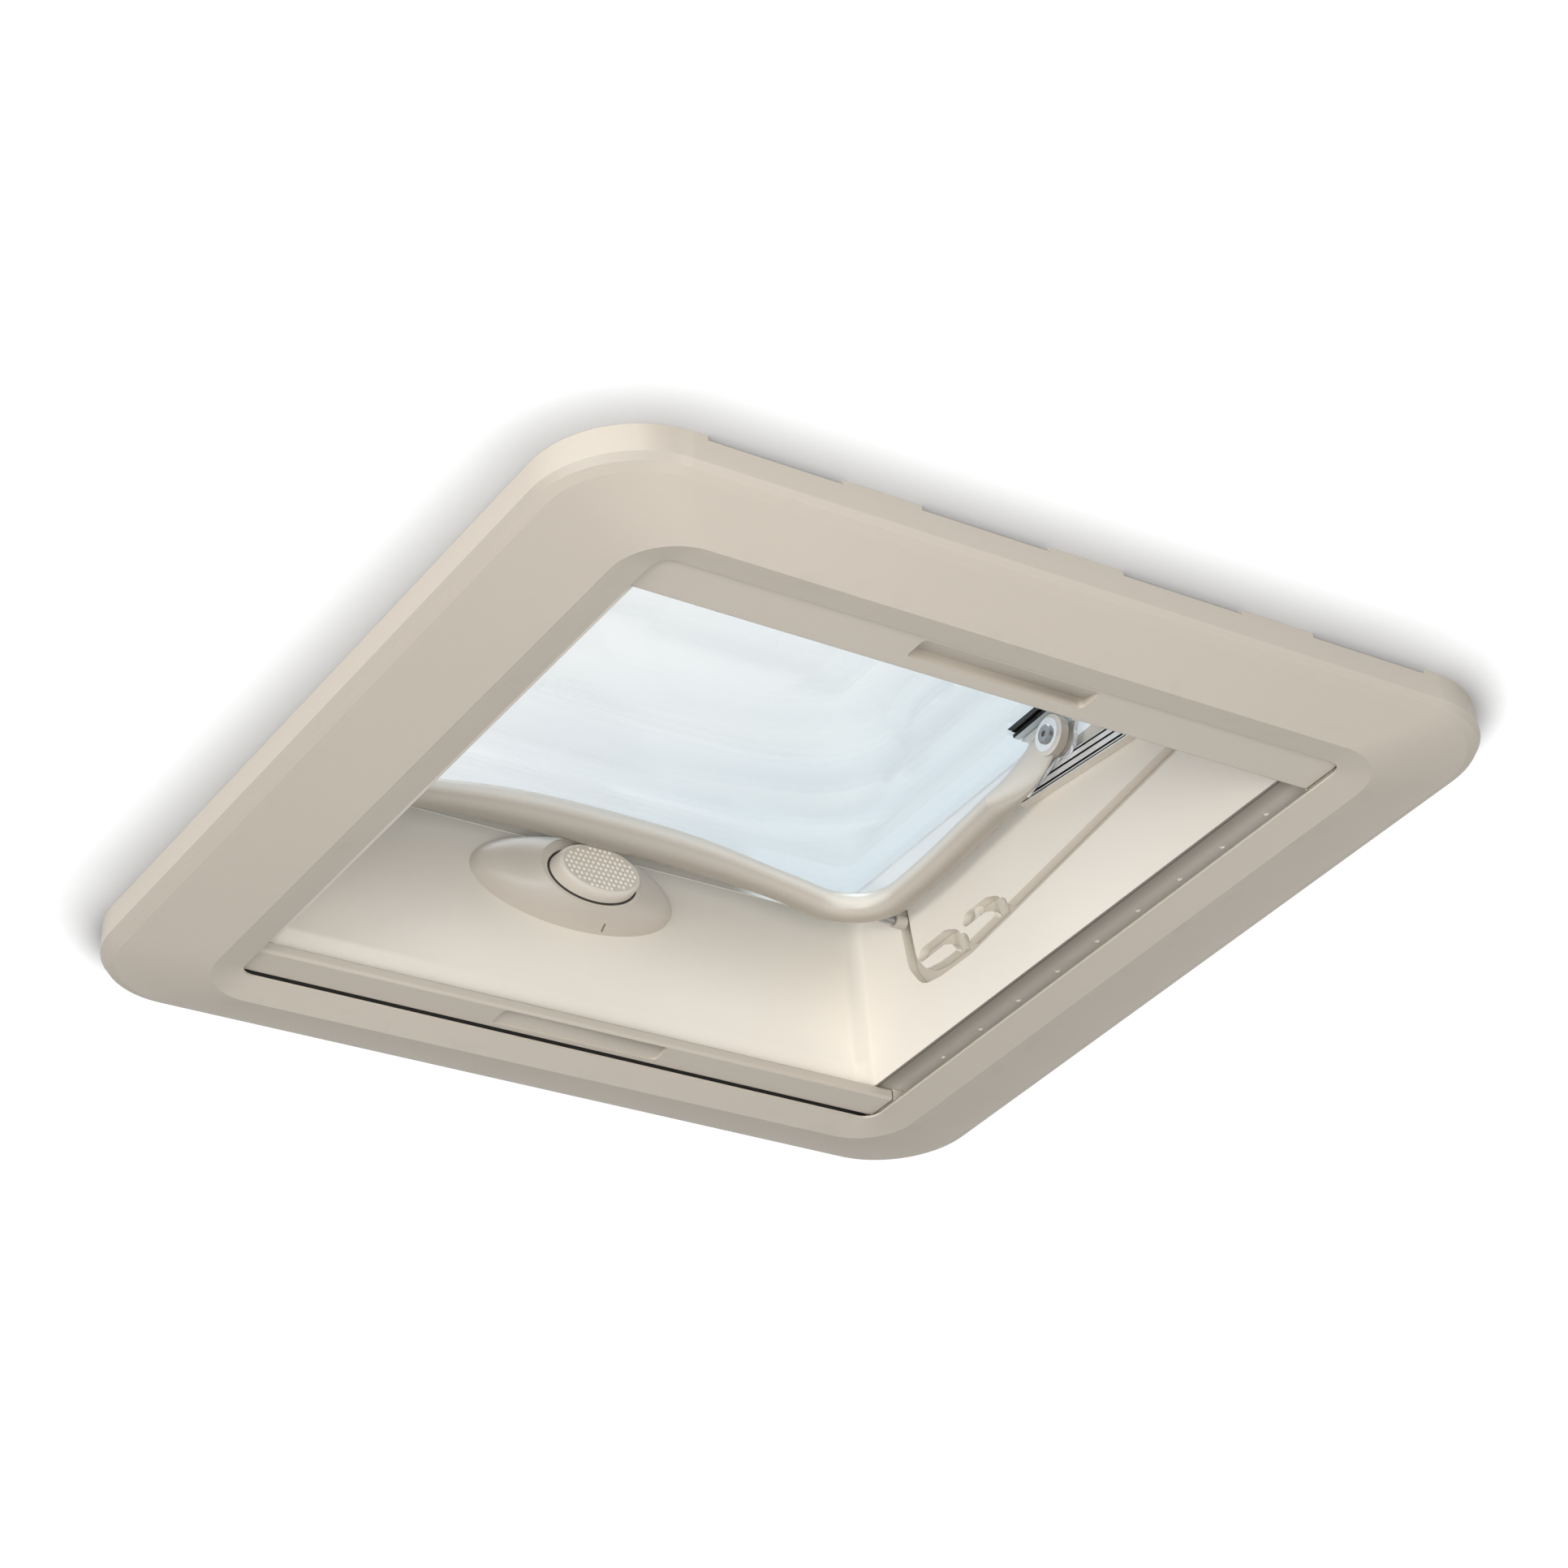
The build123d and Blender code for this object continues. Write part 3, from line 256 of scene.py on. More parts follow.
def room_finish(name, colour, low_glow, high_glow, far_glow):
    """Paint that shows only to an eye on its front. Its own glow fades near the fitting as a
    painted shadow, over a shorter way on the two sides that lie towards +X and +Y."""
    finish = Finish(name)
    finish.tree.nodes.remove(finish.surface)
    x, y = finish.split(finish.place())[:2]
    beyond_x = finish.larger(abs(x) - (frame_half_x - frame_corner), 0.0)
    beyond_y = finish.larger(abs(y) - (frame_half_y - frame_corner), 0.0)
    distance = finish.math("SQRT", beyond_x * beyond_x + beyond_y * beyond_y) - frame_corner
    distance = distance * (1 + shadow_narrowing * finish.rise(x + y, *narrow_side))
    # Painted shadow: the glow is weak next to the fitting and full beyond its reach.
    clear_of_painted_shadow = finish.larger(2 * finish.rise(distance, -shadow_reach, shadow_reach) - 1, 0.0)
    strength = low_glow + (high_glow - low_glow) * clear_of_painted_shadow
    strength = strength + far_glow * finish.rise(distance, *far_away)
    matt = finish.node("ShaderNodeBsdfDiffuse", {}, {"Color": colour})
    glow = finish.node("ShaderNodeEmission", {}, {"Color": colour, "Strength": strength})
    front = finish.node("ShaderNodeAddShader", {}, {0: matt, 1: glow})
    clear = finish.node("ShaderNodeBsdfTransparent", {}, {})
    behind = finish.node("ShaderNodeNewGeometry", {}, {}, "Backfacing")
    shown = finish.seen() * (1 - behind)
    finish.end(finish.node("ShaderNodeMixShader", {}, {0: shown, 1: clear, 2: front}))
    return finish.material


board.data.materials.append(room_finish("ceiling_paint", (0.5, 0.5, 0.5, 1), low_glow=0.2,
                                        high_glow=1.65, far_glow=0.4))
floor.data.materials.append(room_finish("floor_paint", paint(236, 235, 232), low_glow=0.25,
                                        high_glow=0.45, far_glow=0.9))

sky_level = 0.325
world = bpy.data.worlds.new("plain_sky")
bpy.context.scene.world = world
world.use_nodes = True
sky = Finish("plain_sky", world.node_tree)
sky_shader = sky.tree.nodes["Background"]
sky.feed(sky_shader.inputs["Color"], (1, 1, 1, 1))
sky.feed(sky_shader.inputs["Strength"], sky_level + (1 - sky_level) * sky.seen())

lamp_target = Vector((0, 0, 0.03))
for lamp_name, lamp_place, lamp_size, lamp_power in (
        ("window_lamp", (-2.057, -0.65, -0.433), 1.1, 28.3),
        ("room_lamp", (-1.34, -1.34, -1.117), 1.1, 10.4),
        ("door_lamp", (-0.564, -1.803, -1.127), 1.1, 19.4),
        ("far_lamp", (1.34, 1.34, -1.117), 1.1, 3.0),
        ("sky_lamp", (0, 0, 2.2), 1.2, 17.2)):
    lamp_data = bpy.data.lights.new(lamp_name, "AREA")
    lamp_data.size = lamp_size
    lamp_data.energy = lamp_power
    lamp = bpy.data.objects.new(lamp_name, lamp_data)
    lamp.location = lamp_place
    lamp_way = lamp_target - Vector(lamp_place)
    lamp.rotation_euler = lamp_way.to_track_quat("-Z", "Y").to_euler()
    bpy.context.collection.objects.link(lamp)


# The ceiling frame.
# One injection moulding in a warm grey, satin plastic with a fine spark-eroded grain. It snaps
# onto the clips of the liner and covers the edge of the cut-out.
def moulded(name, colour, roughness, marks=None, **shader):
    """A satin moulding: a slow drift of tone, a fine grain and a little variation of gloss."""
    drift = 0.035
    gloss_drift = 0.06
    grain_depth = 0.00005
    finish = Finish(name)
    place = finish.place()
    cloud = finish.noise(place, scale=6.0, detail=3.0)
    grain = finish.noise(place, scale=1700.0)
    smear = finish.noise(place, scale=30.0, detail=4.0)
    dark = tuple(part * (1 - drift) for part in colour[:3]) + (1.0,)
    light = tuple(min(1.0, part * (1 + drift)) for part in colour[:3]) + (1.0,)
    tone = finish.mix(cloud, dark, light)
    if marks is not None:
        tone = marks(finish, tone)
    finish.set(base_color=tone, roughness=roughness - gloss_drift + 2 * gloss_drift * smear)
    finish.set(normal=finish.bump(grain, grain_depth), **shader)
    return finish.material


def dress(material, *nodes):
    """Gives CAD nodes a finish."""
    for node in nodes:
        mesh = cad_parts[node].data
        mesh.materials.clear()
        mesh.materials.append(material)


def painted_shade_and_wear(finish, tone):
    """Painted shade on the rolled edge and on the window side's slope. The ridge is rubbed."""
    painted_shade_tone = paint(120, 113, 104)
    rubbed_plastic = paint(196, 187, 175)
    roll_starts, roll_ends = (0.12, 0.4), (0.86, 0.965)
    slope_starts, slope_ends = (0.04, 0.2), (0.3, 0.5)
    window_side = (0.0, 0.5)
    least_outward = 0.01
    roll_strength, more_by_window = 0.12, 0.3
    ridge_heights = (0.0006, 0.0035)
    patch_edge = (0.5, 0.75)
    x, y, z = finish.split(finish.place())
    across, along, up = finish.facing()
    downward = -1 * up
    windowward = -1 * across
    # Painted shade on the rolled edge, stronger on the window's side.
    roll_shade = finish.rise(downward, *roll_starts) * finish.fall(downward, *roll_ends)
    roll_shade = roll_shade * ((across * x + along * y) > least_outward)
    roll_shade = roll_shade * (roll_strength + more_by_window * finish.rise(windowward, *window_side))
    tone = finish.mix(roll_shade, tone, painted_shade_tone)
    # Painted shade on the slope that faces the window.
    slope_shade = finish.rise(windowward, *slope_starts) * finish.fall(windowward, *slope_ends)
    tone = finish.stain(tone, slope_shade, strength=0.15, colour=painted_shade_tone)
    ridge = finish.fall(z, *ridge_heights)
    patches = finish.rise(finish.noise(finish.place(), scale=55.0, detail=5.0), *patch_edge)
    return finish.stain(tone, ridge * patches, strength=0.5, colour=rubbed_plastic)


dress(moulded("frame_plastic", paint(206, 197, 184), roughness=0.5, marks=painted_shade_and_wear),
      "ceiling_frame")

# The well.
# The liner is moulded in the same plastic and screwed up into the roof frame. Its lighter shade is
# painted light in the well.
# The floors of its two guide grooves carry painted shade, darker where the groove is deeper.
clamp_flange = 0.039
side_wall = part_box("well_liner")[1][0] - clamp_flange


def guide_marks(finish, tone):
    """Painted shade in the grooves, ledge and seam, and painted light and shade on the walls."""
    painted_shade_tone = paint(186, 179, 167)
    skin = 0.0002
    wall_foot, wall_top = 0.0142, 0.1172
    groove_foot = 0.03
    groove_depths = (side_wall + 0.0003, side_wall + 0.0072)
    insert_depths = (side_wall + 0.0045, side_wall + 0.006)
    ledge_lip, ledge_top = side_wall + 0.0001, 0.0165
    ledge_width = (side_wall, side_wall + 0.019)
    seam_width = (side_wall - 0.0004, side_wall + 0.0009)
    hinge_end = (-0.02, 0.17)
    corner_x, corner_y = (0.1685, 0.173), (0.1755, 0.18)
    latch_side = (0.178, 0.184)
    foot_heights = (0.027, 0.031)
    shade_heights = (0.036, 0.106)
    window_end = (-0.17, -0.04)
    x, y, z = finish.split(finish.place())
    side = abs(x)

    # Painted shade in the grooves, darker where they are deeper.
    groove_shade = finish.between(side, *groove_depths) * (z > groove_foot)
    groove_shade = groove_shade * (0.5 + 0.5 * finish.rise(side, *insert_depths))
    tone = finish.stain(tone, groove_shade, strength=0.62, colour=painted_shade_tone)
    # Painted shade on the ledge, darker towards the wall, and in the seam at the wall's foot.
    ledge_shade = (x > ledge_lip) * (z < ledge_top) * finish.fall(side, *ledge_width)
    tone = finish.mix(ledge_shade, tone, paint(152, 145, 134))
    seam_shade = finish.between(x, *seam_width) * (z < wall_foot)
    tone = finish.stain(tone, seam_shade, strength=0.9, colour=paint(96, 90, 82))

    # Painted shade on the side walls towards the hinge end and in the corners.
    hinge_end_shade = finish.rise(-1 * y, *hinge_end) * (side < side_wall + skin) * (z > wall_foot)
    tone = finish.stain(tone, hinge_end_shade, strength=0.42, colour=paint(186, 179, 168))
    corner_shade = finish.rise(side, *corner_x) * finish.rise(abs(y), *corner_y)
    corner_shade = corner_shade * (side < side_wall - skin)
    tone = finish.stain(tone, corner_shade, strength=0.5, colour=paint(222, 214, 201))

    # On the latch wall: painted shade higher up and at the window's end, painted light at its foot.
    latch_wall = finish.rise(y, *latch_side)
    foot_light = latch_wall * finish.fall(z, *foot_heights)
    shade = latch_wall * finish.rise(z, *shade_heights) * (z < wall_top)
    tone = finish.stain(tone, shade, strength=0.62, colour=paint(198, 192, 181))
    window_end_shade = latch_wall * (1 - foot_light) * finish.fall(x, *window_end)
    tone = finish.stain(tone, window_end_shade, strength=0.3, colour=paint(186, 180, 169))
    return finish.stain(tone, foot_light, strength=0.4, colour=paint(255, 247, 236))


# The liner's lighter base colour is painted light.
dress(moulded("liner_plastic", paint(250, 243, 232), roughness=0.4, marks=guide_marks),
      "well_liner")

# The roof frame.
# A weatherproof white moulding that is screwed down on the roof over a strip of sealant. Its inner
# ring, next to the dome, is thin; it has a painted glow of daylight, and painted shade over the
# latch. The outside gathers dust.
painted_daylight_glow = paint(205, 216, 222)


def painted_glow_and_dust(finish, tone):
    """A painted glow in the inner ring, painted shade over the latch, and road dust elsewhere."""
    ring_reach, ring_foot = 0.1905, 0.1
    latch_face, latch_end = 0.183, (0.1, 0.125)
    streak_edge = (0.52, 0.8)
    x, y, z = finish.split(finish.place())
    ring = (finish.larger(abs(x), abs(y)) < ring_reach) * (z > ring_foot)
    shade_over_latch = (y > latch_face) * finish.fall(x, *latch_end)
    # The ring's glow is painted light.
    glow = finish.mix(ring * (1 - shade_over_latch), (0, 0, 0, 1), painted_daylight_glow)
    finish.set(emission_color=glow, emission_strength=0.42)
    # The ring is painted pale with its glow, and over the latch it has painted shade.
    ring_light_and_shade = finish.mix(shade_over_latch, paint(243, 246, 248), paint(206, 199, 188))
    tone = finish.mix(ring, tone, ring_light_and_shade)
    streaks = finish.rise(finish.noise(finish.place(), scale=24.0, detail=6.0), *streak_edge)
    streaks = streaks * (1 - ring)
    return finish.stain(tone, streaks, strength=0.22, colour=paint(176, 172, 162))


dress(moulded("roof_plastic", paint(233, 231, 226), roughness=0.45, marks=painted_glow_and_dust), "roof_frame")


# The seals.
# The roof's gasket is black cellular rubber under the flange. The dome closes on a ring of pale,
# half clear silicone that is pushed onto the deck. Its glow is painted light.
def soft_rubber(name, colour, roughness, **shader):
    """Moulded rubber with a bloom of grey."""
    bloom_gain, bloom_floor = 1.6, 0.01
    gloss_drift = 0.1
    skin_depth = 0.00008
    finish = Finish(name)
    place = finish.place()
    bloom = finish.noise(place, scale=90.0, detail=5.0)
    light = tuple(min(1.0, part * bloom_gain + bloom_floor) for part in colour[:3]) + (1.0,)
    finish.set(base_color=finish.mix(bloom, colour, light))
    finish.set(roughness=roughness - gloss_drift + 2 * gloss_drift * bloom)
    finish.set(normal=finish.bump(finish.noise(place, scale=900.0), skin_depth), **shader)
    return finish.material


dress(soft_rubber("black_rubber", paint(28, 28, 30), roughness=0.62), "roof_gasket")
# The silicone's glow is painted light.
dress(soft_rubber("pale_silicone", paint(206, 210, 211), roughness=0.5, emission_color=painted_daylight_glow,
                  emission_strength=0.3), "dome_seal")


# The slats of the blinds.
# Extruded bars with moulded ends that run in plastic tracks on the lip of the frame. Each has a
# scooped grip for two fingers.
def slat_marks(finish, tone):
    """Painted shadow in the joint towards the frame, and painted shade in the hollow of the grip.
    """
    back_joint, back_joint_foot = 0.1943, 0.0085
    front_joint = (0.1931, 0.2)
    end_joint = 0.1851
    grip_width, grip_half_length = (0.1752, 0.1906), 0.0481
    grip_heights = (0.0066, 0.0102)
    dim_end = (-0.03, 0.046)
    x, y, z = finish.split(finish.place())
    side = abs(y)
    joint_shadow = finish.larger((side > back_joint) * (z > back_joint_foot),
                          finish.between(y, *front_joint))
    joint_shadow = finish.larger(joint_shadow, abs(x) > end_joint)
    grip_shade = finish.between(side, *grip_width) * (abs(x) < grip_half_length)
    grip_shade = grip_shade * (0.45 + 0.55 * finish.rise(x, *dim_end)) * finish.rise(z, *grip_heights)
    tone = finish.stain(tone, grip_shade, strength=0.75, colour=paint(140, 132, 121))
    return finish.stain(tone, joint_shadow, strength=0.97, colour=paint(15, 13, 12))


dress(moulded("slat_plastic", paint(203, 194, 181), roughness=0.38, marks=slat_marks),
      "blind_slat", "screen_slat")
dress(moulded("slat_cap_plastic", paint(205, 196, 184), roughness=0.44),
      "blind_caps", "screen_caps")
# The dark grey of the tracks and anchors is painted shade by the lip.
dress(moulded("track_plastic", paint(150, 145, 137), roughness=0.5), "side_track_left",
      "side_track_right", "blind_anchor", "screen_anchor")

# The cloths of the blinds.
# A pleated, light-tight cloth on the hinge side and a pleated insect screen on the latch side,
# each held by a rail on the frame and by its slat.
pleat_count = 21
edge_gap = 0.0006
rail_gap = 0.0002
crest_gap = 0.0003


def pleated_cloth(name, node, sign, thickness):
    """Cloth in zigzag folds with soft crests, from the rail at its outer end to the slat."""
    columns = 28
    steps_per_fold = 5
    rows = 2 * pleat_count * steps_per_fold
    sharpness = 0.97
    ripple_height, ripples_across, ripples_along = 0.00012, 9.0, 3.0
    low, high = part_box(node)
    near_slat = min(abs(low[1]), abs(high[1])) - rail_gap
    near_rail = max(abs(low[1]), abs(high[1])) + rail_gap
    half_width = high[0] - edge_gap
    crest = (high[2] - low[2]) / 2 - crest_gap
    middle = (high[2] + low[2]) / 2
    cloth = bmesh.new()
    cloth.loops.layers.uv.new("threads")
    bmesh.ops.create_grid(cloth, x_segments=columns, y_segments=rows, size=1.0, calc_uvs=True)
    for vert in cloth.verts:
        share = (vert.co.y + 1) / 2
        fold = sharpness * math.sin(2 * math.pi * pleat_count * share)
        wave = math.asin(fold) / math.asin(sharpness)
        ripple = math.sin(ripples_across * vert.co.x + ripples_along * share)
        vert.co = (vert.co.x * half_width, sign * (near_rail + (near_slat - near_rail) * share),
                   middle + crest * wave + ripple_height * ripple)
    bmesh.ops.recalc_face_normals(cloth, faces=cloth.faces[:])
    piece = mesh_object(name, cloth)
    piece.data.shade_smooth()
    shell = piece.modifiers.new("thickness", "SOLIDIFY")
    shell.thickness = thickness
    shell.offset = 0.0
    pitch = (near_rail - near_slat) / (2 * pleat_count)
    unfolded = 2 * pleat_count * math.hypot(pitch, 2 * crest)
    return piece, near_rail, near_slat, (2 * half_width, unfolded)


def woven(finish, warps, wefts):
    """The count of threads from the cloth's corner, along its own surface."""
    threads = finish.node("ShaderNodeUVMap", {"uv_map": "threads"}, {})
    return finish.node("ShaderNodeVectorMath", {"operation": "MULTIPLY"},
                       {0: threads, 1: (warps, wefts, 1.0)})


blind, rail_at, slat_at, cut = pleated_cloth("blackout_pleats", "blind_pleats", sign=-1,
                                             thickness=0.0003)
cloth_finish = Finish("blackout_cloth")
weave_depth = 0.00006
full_turn = 6.2832
weave = woven(cloth_finish, warps=620.0, wefts=330.0)
warp, weft = cloth_finish.split(weave)[:2]
warp = cloth_finish.math("SINE", warp * full_turn)
weft = cloth_finish.math("SINE", weft * full_turn)
slub = 0.25 + 0.5 * cloth_finish.noise(weave, scale=0.12, detail=3.0)
cloth_finish.set(base_color=cloth_finish.mix(slub, paint(196, 187, 172), paint(219, 211, 197)))
cloth_finish.set(roughness=0.85, normal=cloth_finish.bump(warp * weft, weave_depth))
blind.data.materials.append(cloth_finish.material)
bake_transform(blind)
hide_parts("blind_pleats")

screen, rail_at, slat_at, cut = pleated_cloth("insect_pleats", "screen_pleats", sign=1,
                                              thickness=0.0002)
mesh_finish = Finish("insect_mesh")
thread_share = 0.3
hole_alpha = 0.12
thread_alpha = 0.96
warp, weft = mesh_finish.split(woven(mesh_finish, warps=280.0, wefts=150.0))[:2]
thread = mesh_finish.larger(mesh_finish.math("FRACT", warp) < thread_share,
                            mesh_finish.math("FRACT", weft) < thread_share)
mesh_finish.set(base_color=mesh_finish.mix(thread, paint(92, 92, 90), paint(58, 58, 57)))
mesh_finish.set(roughness=0.7, alpha=hole_alpha + (thread_alpha - hole_alpha) * thread)
screen.data.materials.append(mesh_finish.material)
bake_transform(screen)
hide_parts("screen_pleats")

# The latch.
# An oval push button in a moulded housing that two screws hold on the wall. Rows of small raised
# dots give a wet thumb its grip. The button draws a flat bolt back from the bow.
button_low, button_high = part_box("latch_button")
button_face = button_low[1]
button_middle = (button_low[2] + button_high[2]) / 2
pad_middle = button_middle + 0.0003


def oval(across, up, half_width, half_height):
    """Where a point lies within an oval."""
    across = across / half_width
    up = up / half_height
    return across * across + up * up < 1.0


def latch_marks(finish, tone):
    """Painted shade in the bore and on the button's pad, and a short tick on the housing."""
    bore_half_width, bore_half_height, bore_front = 0.0266, 0.0156, button_face + 0.0086
    pad_half_width, pad_half_height, pad_back = 0.0222, 0.0122, button_face + 0.0012
    tick_lean, tick_place, tick_half_width = 2.6, 0.1965, 0.0007
    tick_heights = (0.0697, 0.0704)
    x, y, z = finish.split(finish.place())
    tick = abs(x + tick_lean * z - tick_place) < tick_half_width
    tick = tick * finish.between(z, *tick_heights)
    tone = finish.stain(tone, tick, strength=0.8, colour=paint(70, 64, 58))
    # Painted shade on the pad, between the dots.
    pad = oval(x, z - pad_middle, pad_half_width, pad_half_height) * (y < pad_back)
    tone = finish.stain(tone, pad, strength=0.38, colour=paint(186, 178, 166))
    # Painted shadow in the bore around the button.
    bore_shadow = oval(x, z - button_middle, bore_half_width, bore_half_height) * (y > bore_front)
    return finish.stain(tone, bore_shadow, strength=0.92, colour=paint(40, 37, 34))


dress(moulded("latch_plastic", paint(207, 199, 188), roughness=0.38, marks=latch_marks),
      "latch_housing", "latch_bolt")
dress(moulded("button_plastic", paint(229, 221, 209), roughness=0.38, marks=latch_marks),
      "latch_button")

dot_pitch = 0.0029
row_squeeze = 0.92
rows_each_way = 4
dots_each_way = 8
dot_radius = 0.00105
dot_height = 0.6
dot_lift = 0.0001
dots_half_width = 0.0213
dots_half_height = 0.0113
dots = bmesh.new()
for row in range(-rows_each_way, rows_each_way + 1):
    for column in range(-dots_each_way, dots_each_way + 1):
        x = (column + 0.5 * (row % 2)) * dot_pitch
        z = row * dot_pitch * row_squeeze
        if oval(x, z, dots_half_width, dots_half_height):
            place = Matrix.Translation((x, button_face + dot_lift, pad_middle + z))
            bmesh.ops.create_icosphere(dots, subdivisions=2, radius=dot_radius,
                                       matrix=place @ Matrix.Diagonal((1, dot_height, 1, 1)))
pad = mesh_object("thumb_dots", dots)
pad.data.shade_smooth()
# The dots are painted lighter than the button, as painted light on their tops.
pad.data.materials.append(moulded("dot_plastic", paint(247, 240, 229), roughness=0.32))
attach(pad, "button")


# The bow.
# A glass-filled moulding with flattened eyes at its ends, which turn on two screws. Small pins
# with rollers near its corners run in the grooves of the wall.
def painted_light_and_shade(finish, tone):
    """Painted light on the upper and inner sides, and painted shade on the underside."""
    bow_reach = 0.26
    lit_side, shaded_side = (0.0, 0.65), (-1.0, -0.1)
    x, y = finish.split(finish.place())[:2]
    across, along, up = finish.facing()
    toward_light = up - (across * x + along * y) / bow_reach
    # Painted light on the sides that face up and inward, painted shade on the underside.
    tone = finish.mix(finish.rise(toward_light, *lit_side), tone, paint(255, 250, 240))
    return finish.mix(finish.fall(toward_light, *shaded_side), tone, paint(168, 160, 148))


dress(moulded("bow_plastic", paint(202, 194, 182), roughness=0.36, marks=painted_light_and_shade,
              coat_weight=0.7, coat_roughness=0.25), "bow_handle")
dress(moulded("roller_plastic", paint(190, 183, 172), roughness=0.3), "guide_rollers")
dress(moulded("spacer_plastic", paint(170, 162, 150), roughness=0.4), "bow_spacers")


# The metal pieces.
# Rolled and pressed steel with bright plating: bars, pins, screws and clips. The hinge leaves
# beside them are moulded in black plastic.
def plated(name, colour, metallic, smoothest, roughest, streak_scale, streak_depth, detail=4.0):
    """Plated metal with faint streaks, which are a little rougher."""
    finish = Finish(name)
    streak = finish.noise(finish.place(), streak_scale, detail)
    finish.set(base_color=colour, metallic=metallic)
    finish.set(roughness=smoothest + (roughest - smoothest) * streak)
    finish.set(normal=finish.bump(streak, streak_depth))
    return finish.material


def steel(name, colour, smoothest, roughest):
    """Solid steel under its plating."""
    return plated(name, colour, 1.0, smoothest, roughest, streak_scale=160.0,
                  streak_depth=0.00002)


plain_steel = steel("plain_steel", (0.62, 0.63, 0.65, 1), smoothest=0.196, roughest=0.364)
dress(plain_steel, "stay_bar_left", "stay_bar_right", "hinge_pins", "liner_screws",
      "latch_screws", "frame_clips", "dome_rivets")
dress(steel("bright_steel", (0.9, 0.9, 0.92, 1), smoothest=0.07, roughest=0.13),
      "bow_washers", "stay_pins")
dress(steel("dull_steel", (0.4, 0.41, 0.43, 1), smoothest=0.175, roughest=0.325),
      "bow_screws", "guide_pins")
dress(moulded("hinge_plastic", paint(58, 57, 56), roughness=0.45), "hinge_leaves")

# The button's spring.
# A coil of five turns of plated wire between the bottom of the bore and the button.
wire = 0.0007
wire_sides = 6
coil_radius = 0.006
coil_turns = 5
steps_per_turn = 16
spring_low, spring_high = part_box("button_spring")
coil_front = spring_low[1] + wire
coil_back = spring_high[1] - wire
coil_height = (spring_low[2] + spring_high[2]) / 2
coil_steps = coil_turns * steps_per_turn
coil_rise = (coil_back - coil_front) / coil_steps
lean = -math.atan2(coil_back - coil_front, 2 * math.pi * coil_turns * coil_radius)
spring = bmesh.new()
bmesh.ops.create_circle(spring, segments=wire_sides, radius=wire, cap_ends=True,
                        matrix=Matrix.Translation((coil_radius, coil_front, coil_height))
                        @ Matrix.Rotation(lean, 4, "X"))
bmesh.ops.spin(spring, geom=spring.verts[:] + spring.edges[:] + spring.faces[:],
               cent=(0, coil_front, coil_height), axis=(0, -1, 0), dvec=(0, coil_rise, 0),
               angle=2 * math.pi * coil_turns, steps=coil_steps)
bmesh.ops.recalc_face_normals(spring, faces=spring.faces[:])
for face in spring.faces:
    face.smooth = len(face.verts) == 4
spring = mesh_object("button_coil", spring)
spring.data.materials.append(plain_steel)
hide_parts("button_spring")
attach(spring, "fixed_frame")
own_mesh(spring)

# The stay rails.
# Bright rolled rails that slide over the flat bars as the dome opens. Each has three grooves on its
# face, painted black as shade, and a rolled bead along its lower edge.
rail_foot = Vector((0, -0.152, 0.0883))
rail_head = Vector((0, 0.014, 0.1052))
rail_way = (rail_head - rail_foot).normalized()
rail_up = Vector((0, -rail_way.z, rail_way.y))
rail_start = 0.032
head_overhang = 0.009
rail_end = (rail_head - rail_foot).length + head_overhang
rail_face = 0.1712
groove_depth = 0.0009
# Each corner of the profile: its height on the rail, and its depth behind the face.
face_corners = [(height, grooves * groove_depth) for height, grooves in (
    (0.006, 0), (0.0054, 0), (0.0054, 1), (0.0043, 1), (0.0043, 0), (0.0016, 0), (0.0016, 1),
    (0.0004, 1), (0.0004, 0), (-0.0026, 0), (-0.0026, 1), (-0.0039, 1), (-0.0039, 0),
    (-0.0046, 0), (-0.0048, 0.5), (-0.0051, 0.5), (-0.0053, 0), (-0.006, 0))]
back_corners = [(-0.006, 0.0052), (-0.004, 0.0052), (-0.004, 0.0022), (0.004, 0.0022),
                (0.004, 0.0052), (0.006, 0.0052)]
groove_depths = (0.0001, groove_depth + 0.00005)
bead_depth = 0.002
chrome = plated("rail_chrome", (0.99, 0.995, 1.0, 1), metallic=0.1, smoothest=0.12,
                roughest=0.24, streak_scale=220.0, streak_depth=0.00003, detail=3.0)
# The black of the groove faces is painted shade.
groove_shadow = moulded("rail_groove_shadow", paint(6, 7, 10), roughness=0.6)
bead_plastic = moulded("rail_bead", paint(216, 209, 197), roughness=0.4)
for side, side_name in ((1, "right"), (-1, "left")):
    rail = bmesh.new()
    ring = []
    for height, depth in face_corners + back_corners:
        outward = Vector((side * (rail_face + depth), 0, 0))
        ring.append(rail.verts.new(rail_foot + rail_way * rail_start + rail_up * height + outward))
    cap = rail.faces.new(ring)
    grown = bmesh.ops.extrude_face_region(rail, geom=[cap], use_keep_orig=True)
    moved = [item for item in grown["geom"] if isinstance(item, bmesh.types.BMVert)]
    bmesh.ops.translate(rail, verts=moved, vec=rail_way * (rail_end - rail_start))
    bmesh.ops.recalc_face_normals(rail, faces=rail.faces[:])
    for face in rail.faces:
        depth = abs(face.calc_center_median().x) - rail_face
        is_end = abs(face.normal.dot(rail_way)) > 0.5
        is_underside = face.normal.dot(rail_up) < -0.9
        if groove_depths[0] < depth < groove_depths[1] and not is_end:
            face.material_index = 1
        if is_underside and depth > bead_depth:
            face.material_index = 2
    rail = mesh_object("stay_rail_" + side_name, rail)
    for material in (chrome, groove_shadow, bead_plastic):
        rail.data.materials.append(material)
    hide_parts("stay_channel_" + side_name)
    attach(rail, "stay_channel_" + side_name)

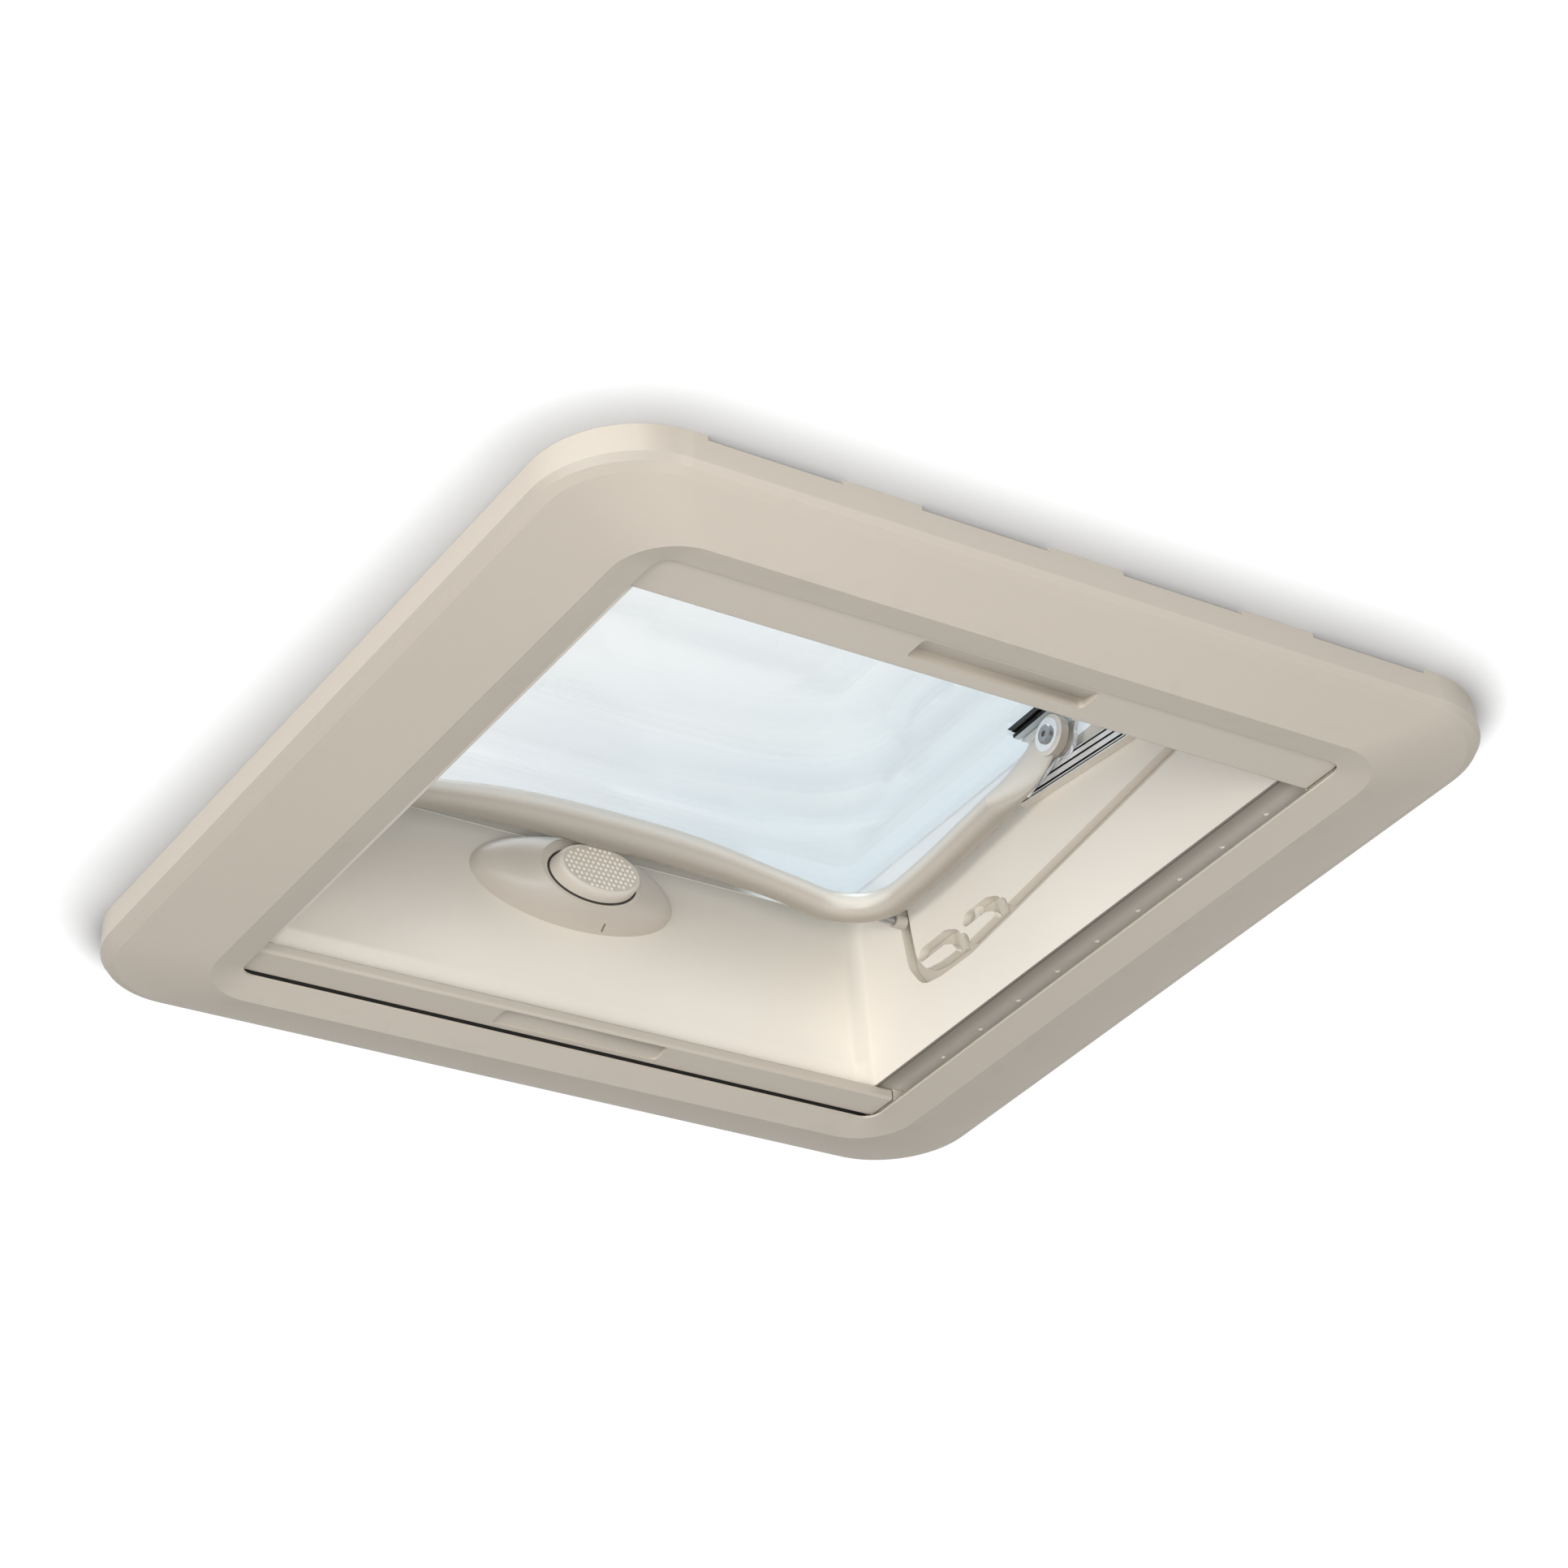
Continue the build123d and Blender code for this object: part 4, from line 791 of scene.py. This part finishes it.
# The brackets under the dome.
# Bent and plated steel plates that lie on clear pads under the inner pane. A strip of rubber runs
# along the inner edge of each pad, and its side face is black.
dress(plated("bracket_plate", (0.93, 0.95, 0.97, 1), metallic=0.55, smoothest=0.06, roughest=0.2,
             streak_scale=260.0, streak_depth=0.00003), "pivot_bracket_left",
      "pivot_bracket_right")
washer_gap = 0.0009
strip_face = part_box("bow_washers")[1][0] + washer_gap
strip = Finish("strip_rubber")
strip_side = abs(strip.split(strip.place())[0]) < strip_face
strip.set(base_color=strip.mix(strip_side, paint(214, 226, 230), paint(22, 22, 24)))
strip.set(roughness=0.4 + 0.25 * strip.noise(strip.place(), scale=120.0))
dress(strip.material, "bracket_strips")


# The dome.
# Two clear acrylic panes welded at their rims. The acrylic has a faint blue tint that is deeper
# towards +X, and soft streaks in the tint are painted sheen.
def clear_acrylic(name, pale, deep, roughness):
    """Clear acrylic that lets light fall through it. A thin pane hardly bends the view, so the
    body's index is low and the coat has the gloss."""
    sheen_turn, sheen_scale = (0, 0, 0.9), (7.0, 1.6, 3.0)
    tint_lean, sheen_share = 0.15, 0.14
    tint_reach = (-0.12, 0.24)
    shadow_tint = (0.8, 0.82, 0.83, 1)
    finish = Finish(name)
    place = finish.place()
    x, y = finish.split(place)[:2]
    # Painted sheen: soft streaks in the tint.
    painted_sheen = finish.node("ShaderNodeMapping", {},
                       {"Vector": place, "Rotation": sheen_turn, "Scale": sheen_scale})
    painted_sheen = finish.noise(painted_sheen, scale=1.1)
    depth = finish.rise(x + tint_lean * y + sheen_share * (painted_sheen - 0.5), *tint_reach)
    finish.set(base_color=finish.mix(depth, pale, deep), roughness=roughness, ior=1.06,
               transmission_weight=1.0, coat_weight=1.0, coat_roughness=0.02, coat_ior=1.49)
    shadow, soft_light = finish.node("ShaderNodeLightPath", {}, {},
                                     "Is Shadow Ray", "Is Diffuse Ray")
    clear = finish.node("ShaderNodeBsdfTransparent", {}, {"Color": shadow_tint})
    surface = Value(finish, finish.surface.outputs[0])
    finish.end(finish.node("ShaderNodeMixShader", {},
                           {0: shadow + soft_light > 0.5, 1: surface, 2: clear}))
    return finish.material


dress(clear_acrylic("clear_acrylic", pale=(0.965, 0.986, 0.998, 1), deep=(0.862, 0.918, 0.945, 1),
                    roughness=0.015), "dome_outer", "dome_inner")
dress(clear_acrylic("clear_pad", pale=(0.95, 0.97, 0.98, 1), deep=(0.93, 0.96, 0.97, 1),
                    roughness=0.03), "bracket_pads")
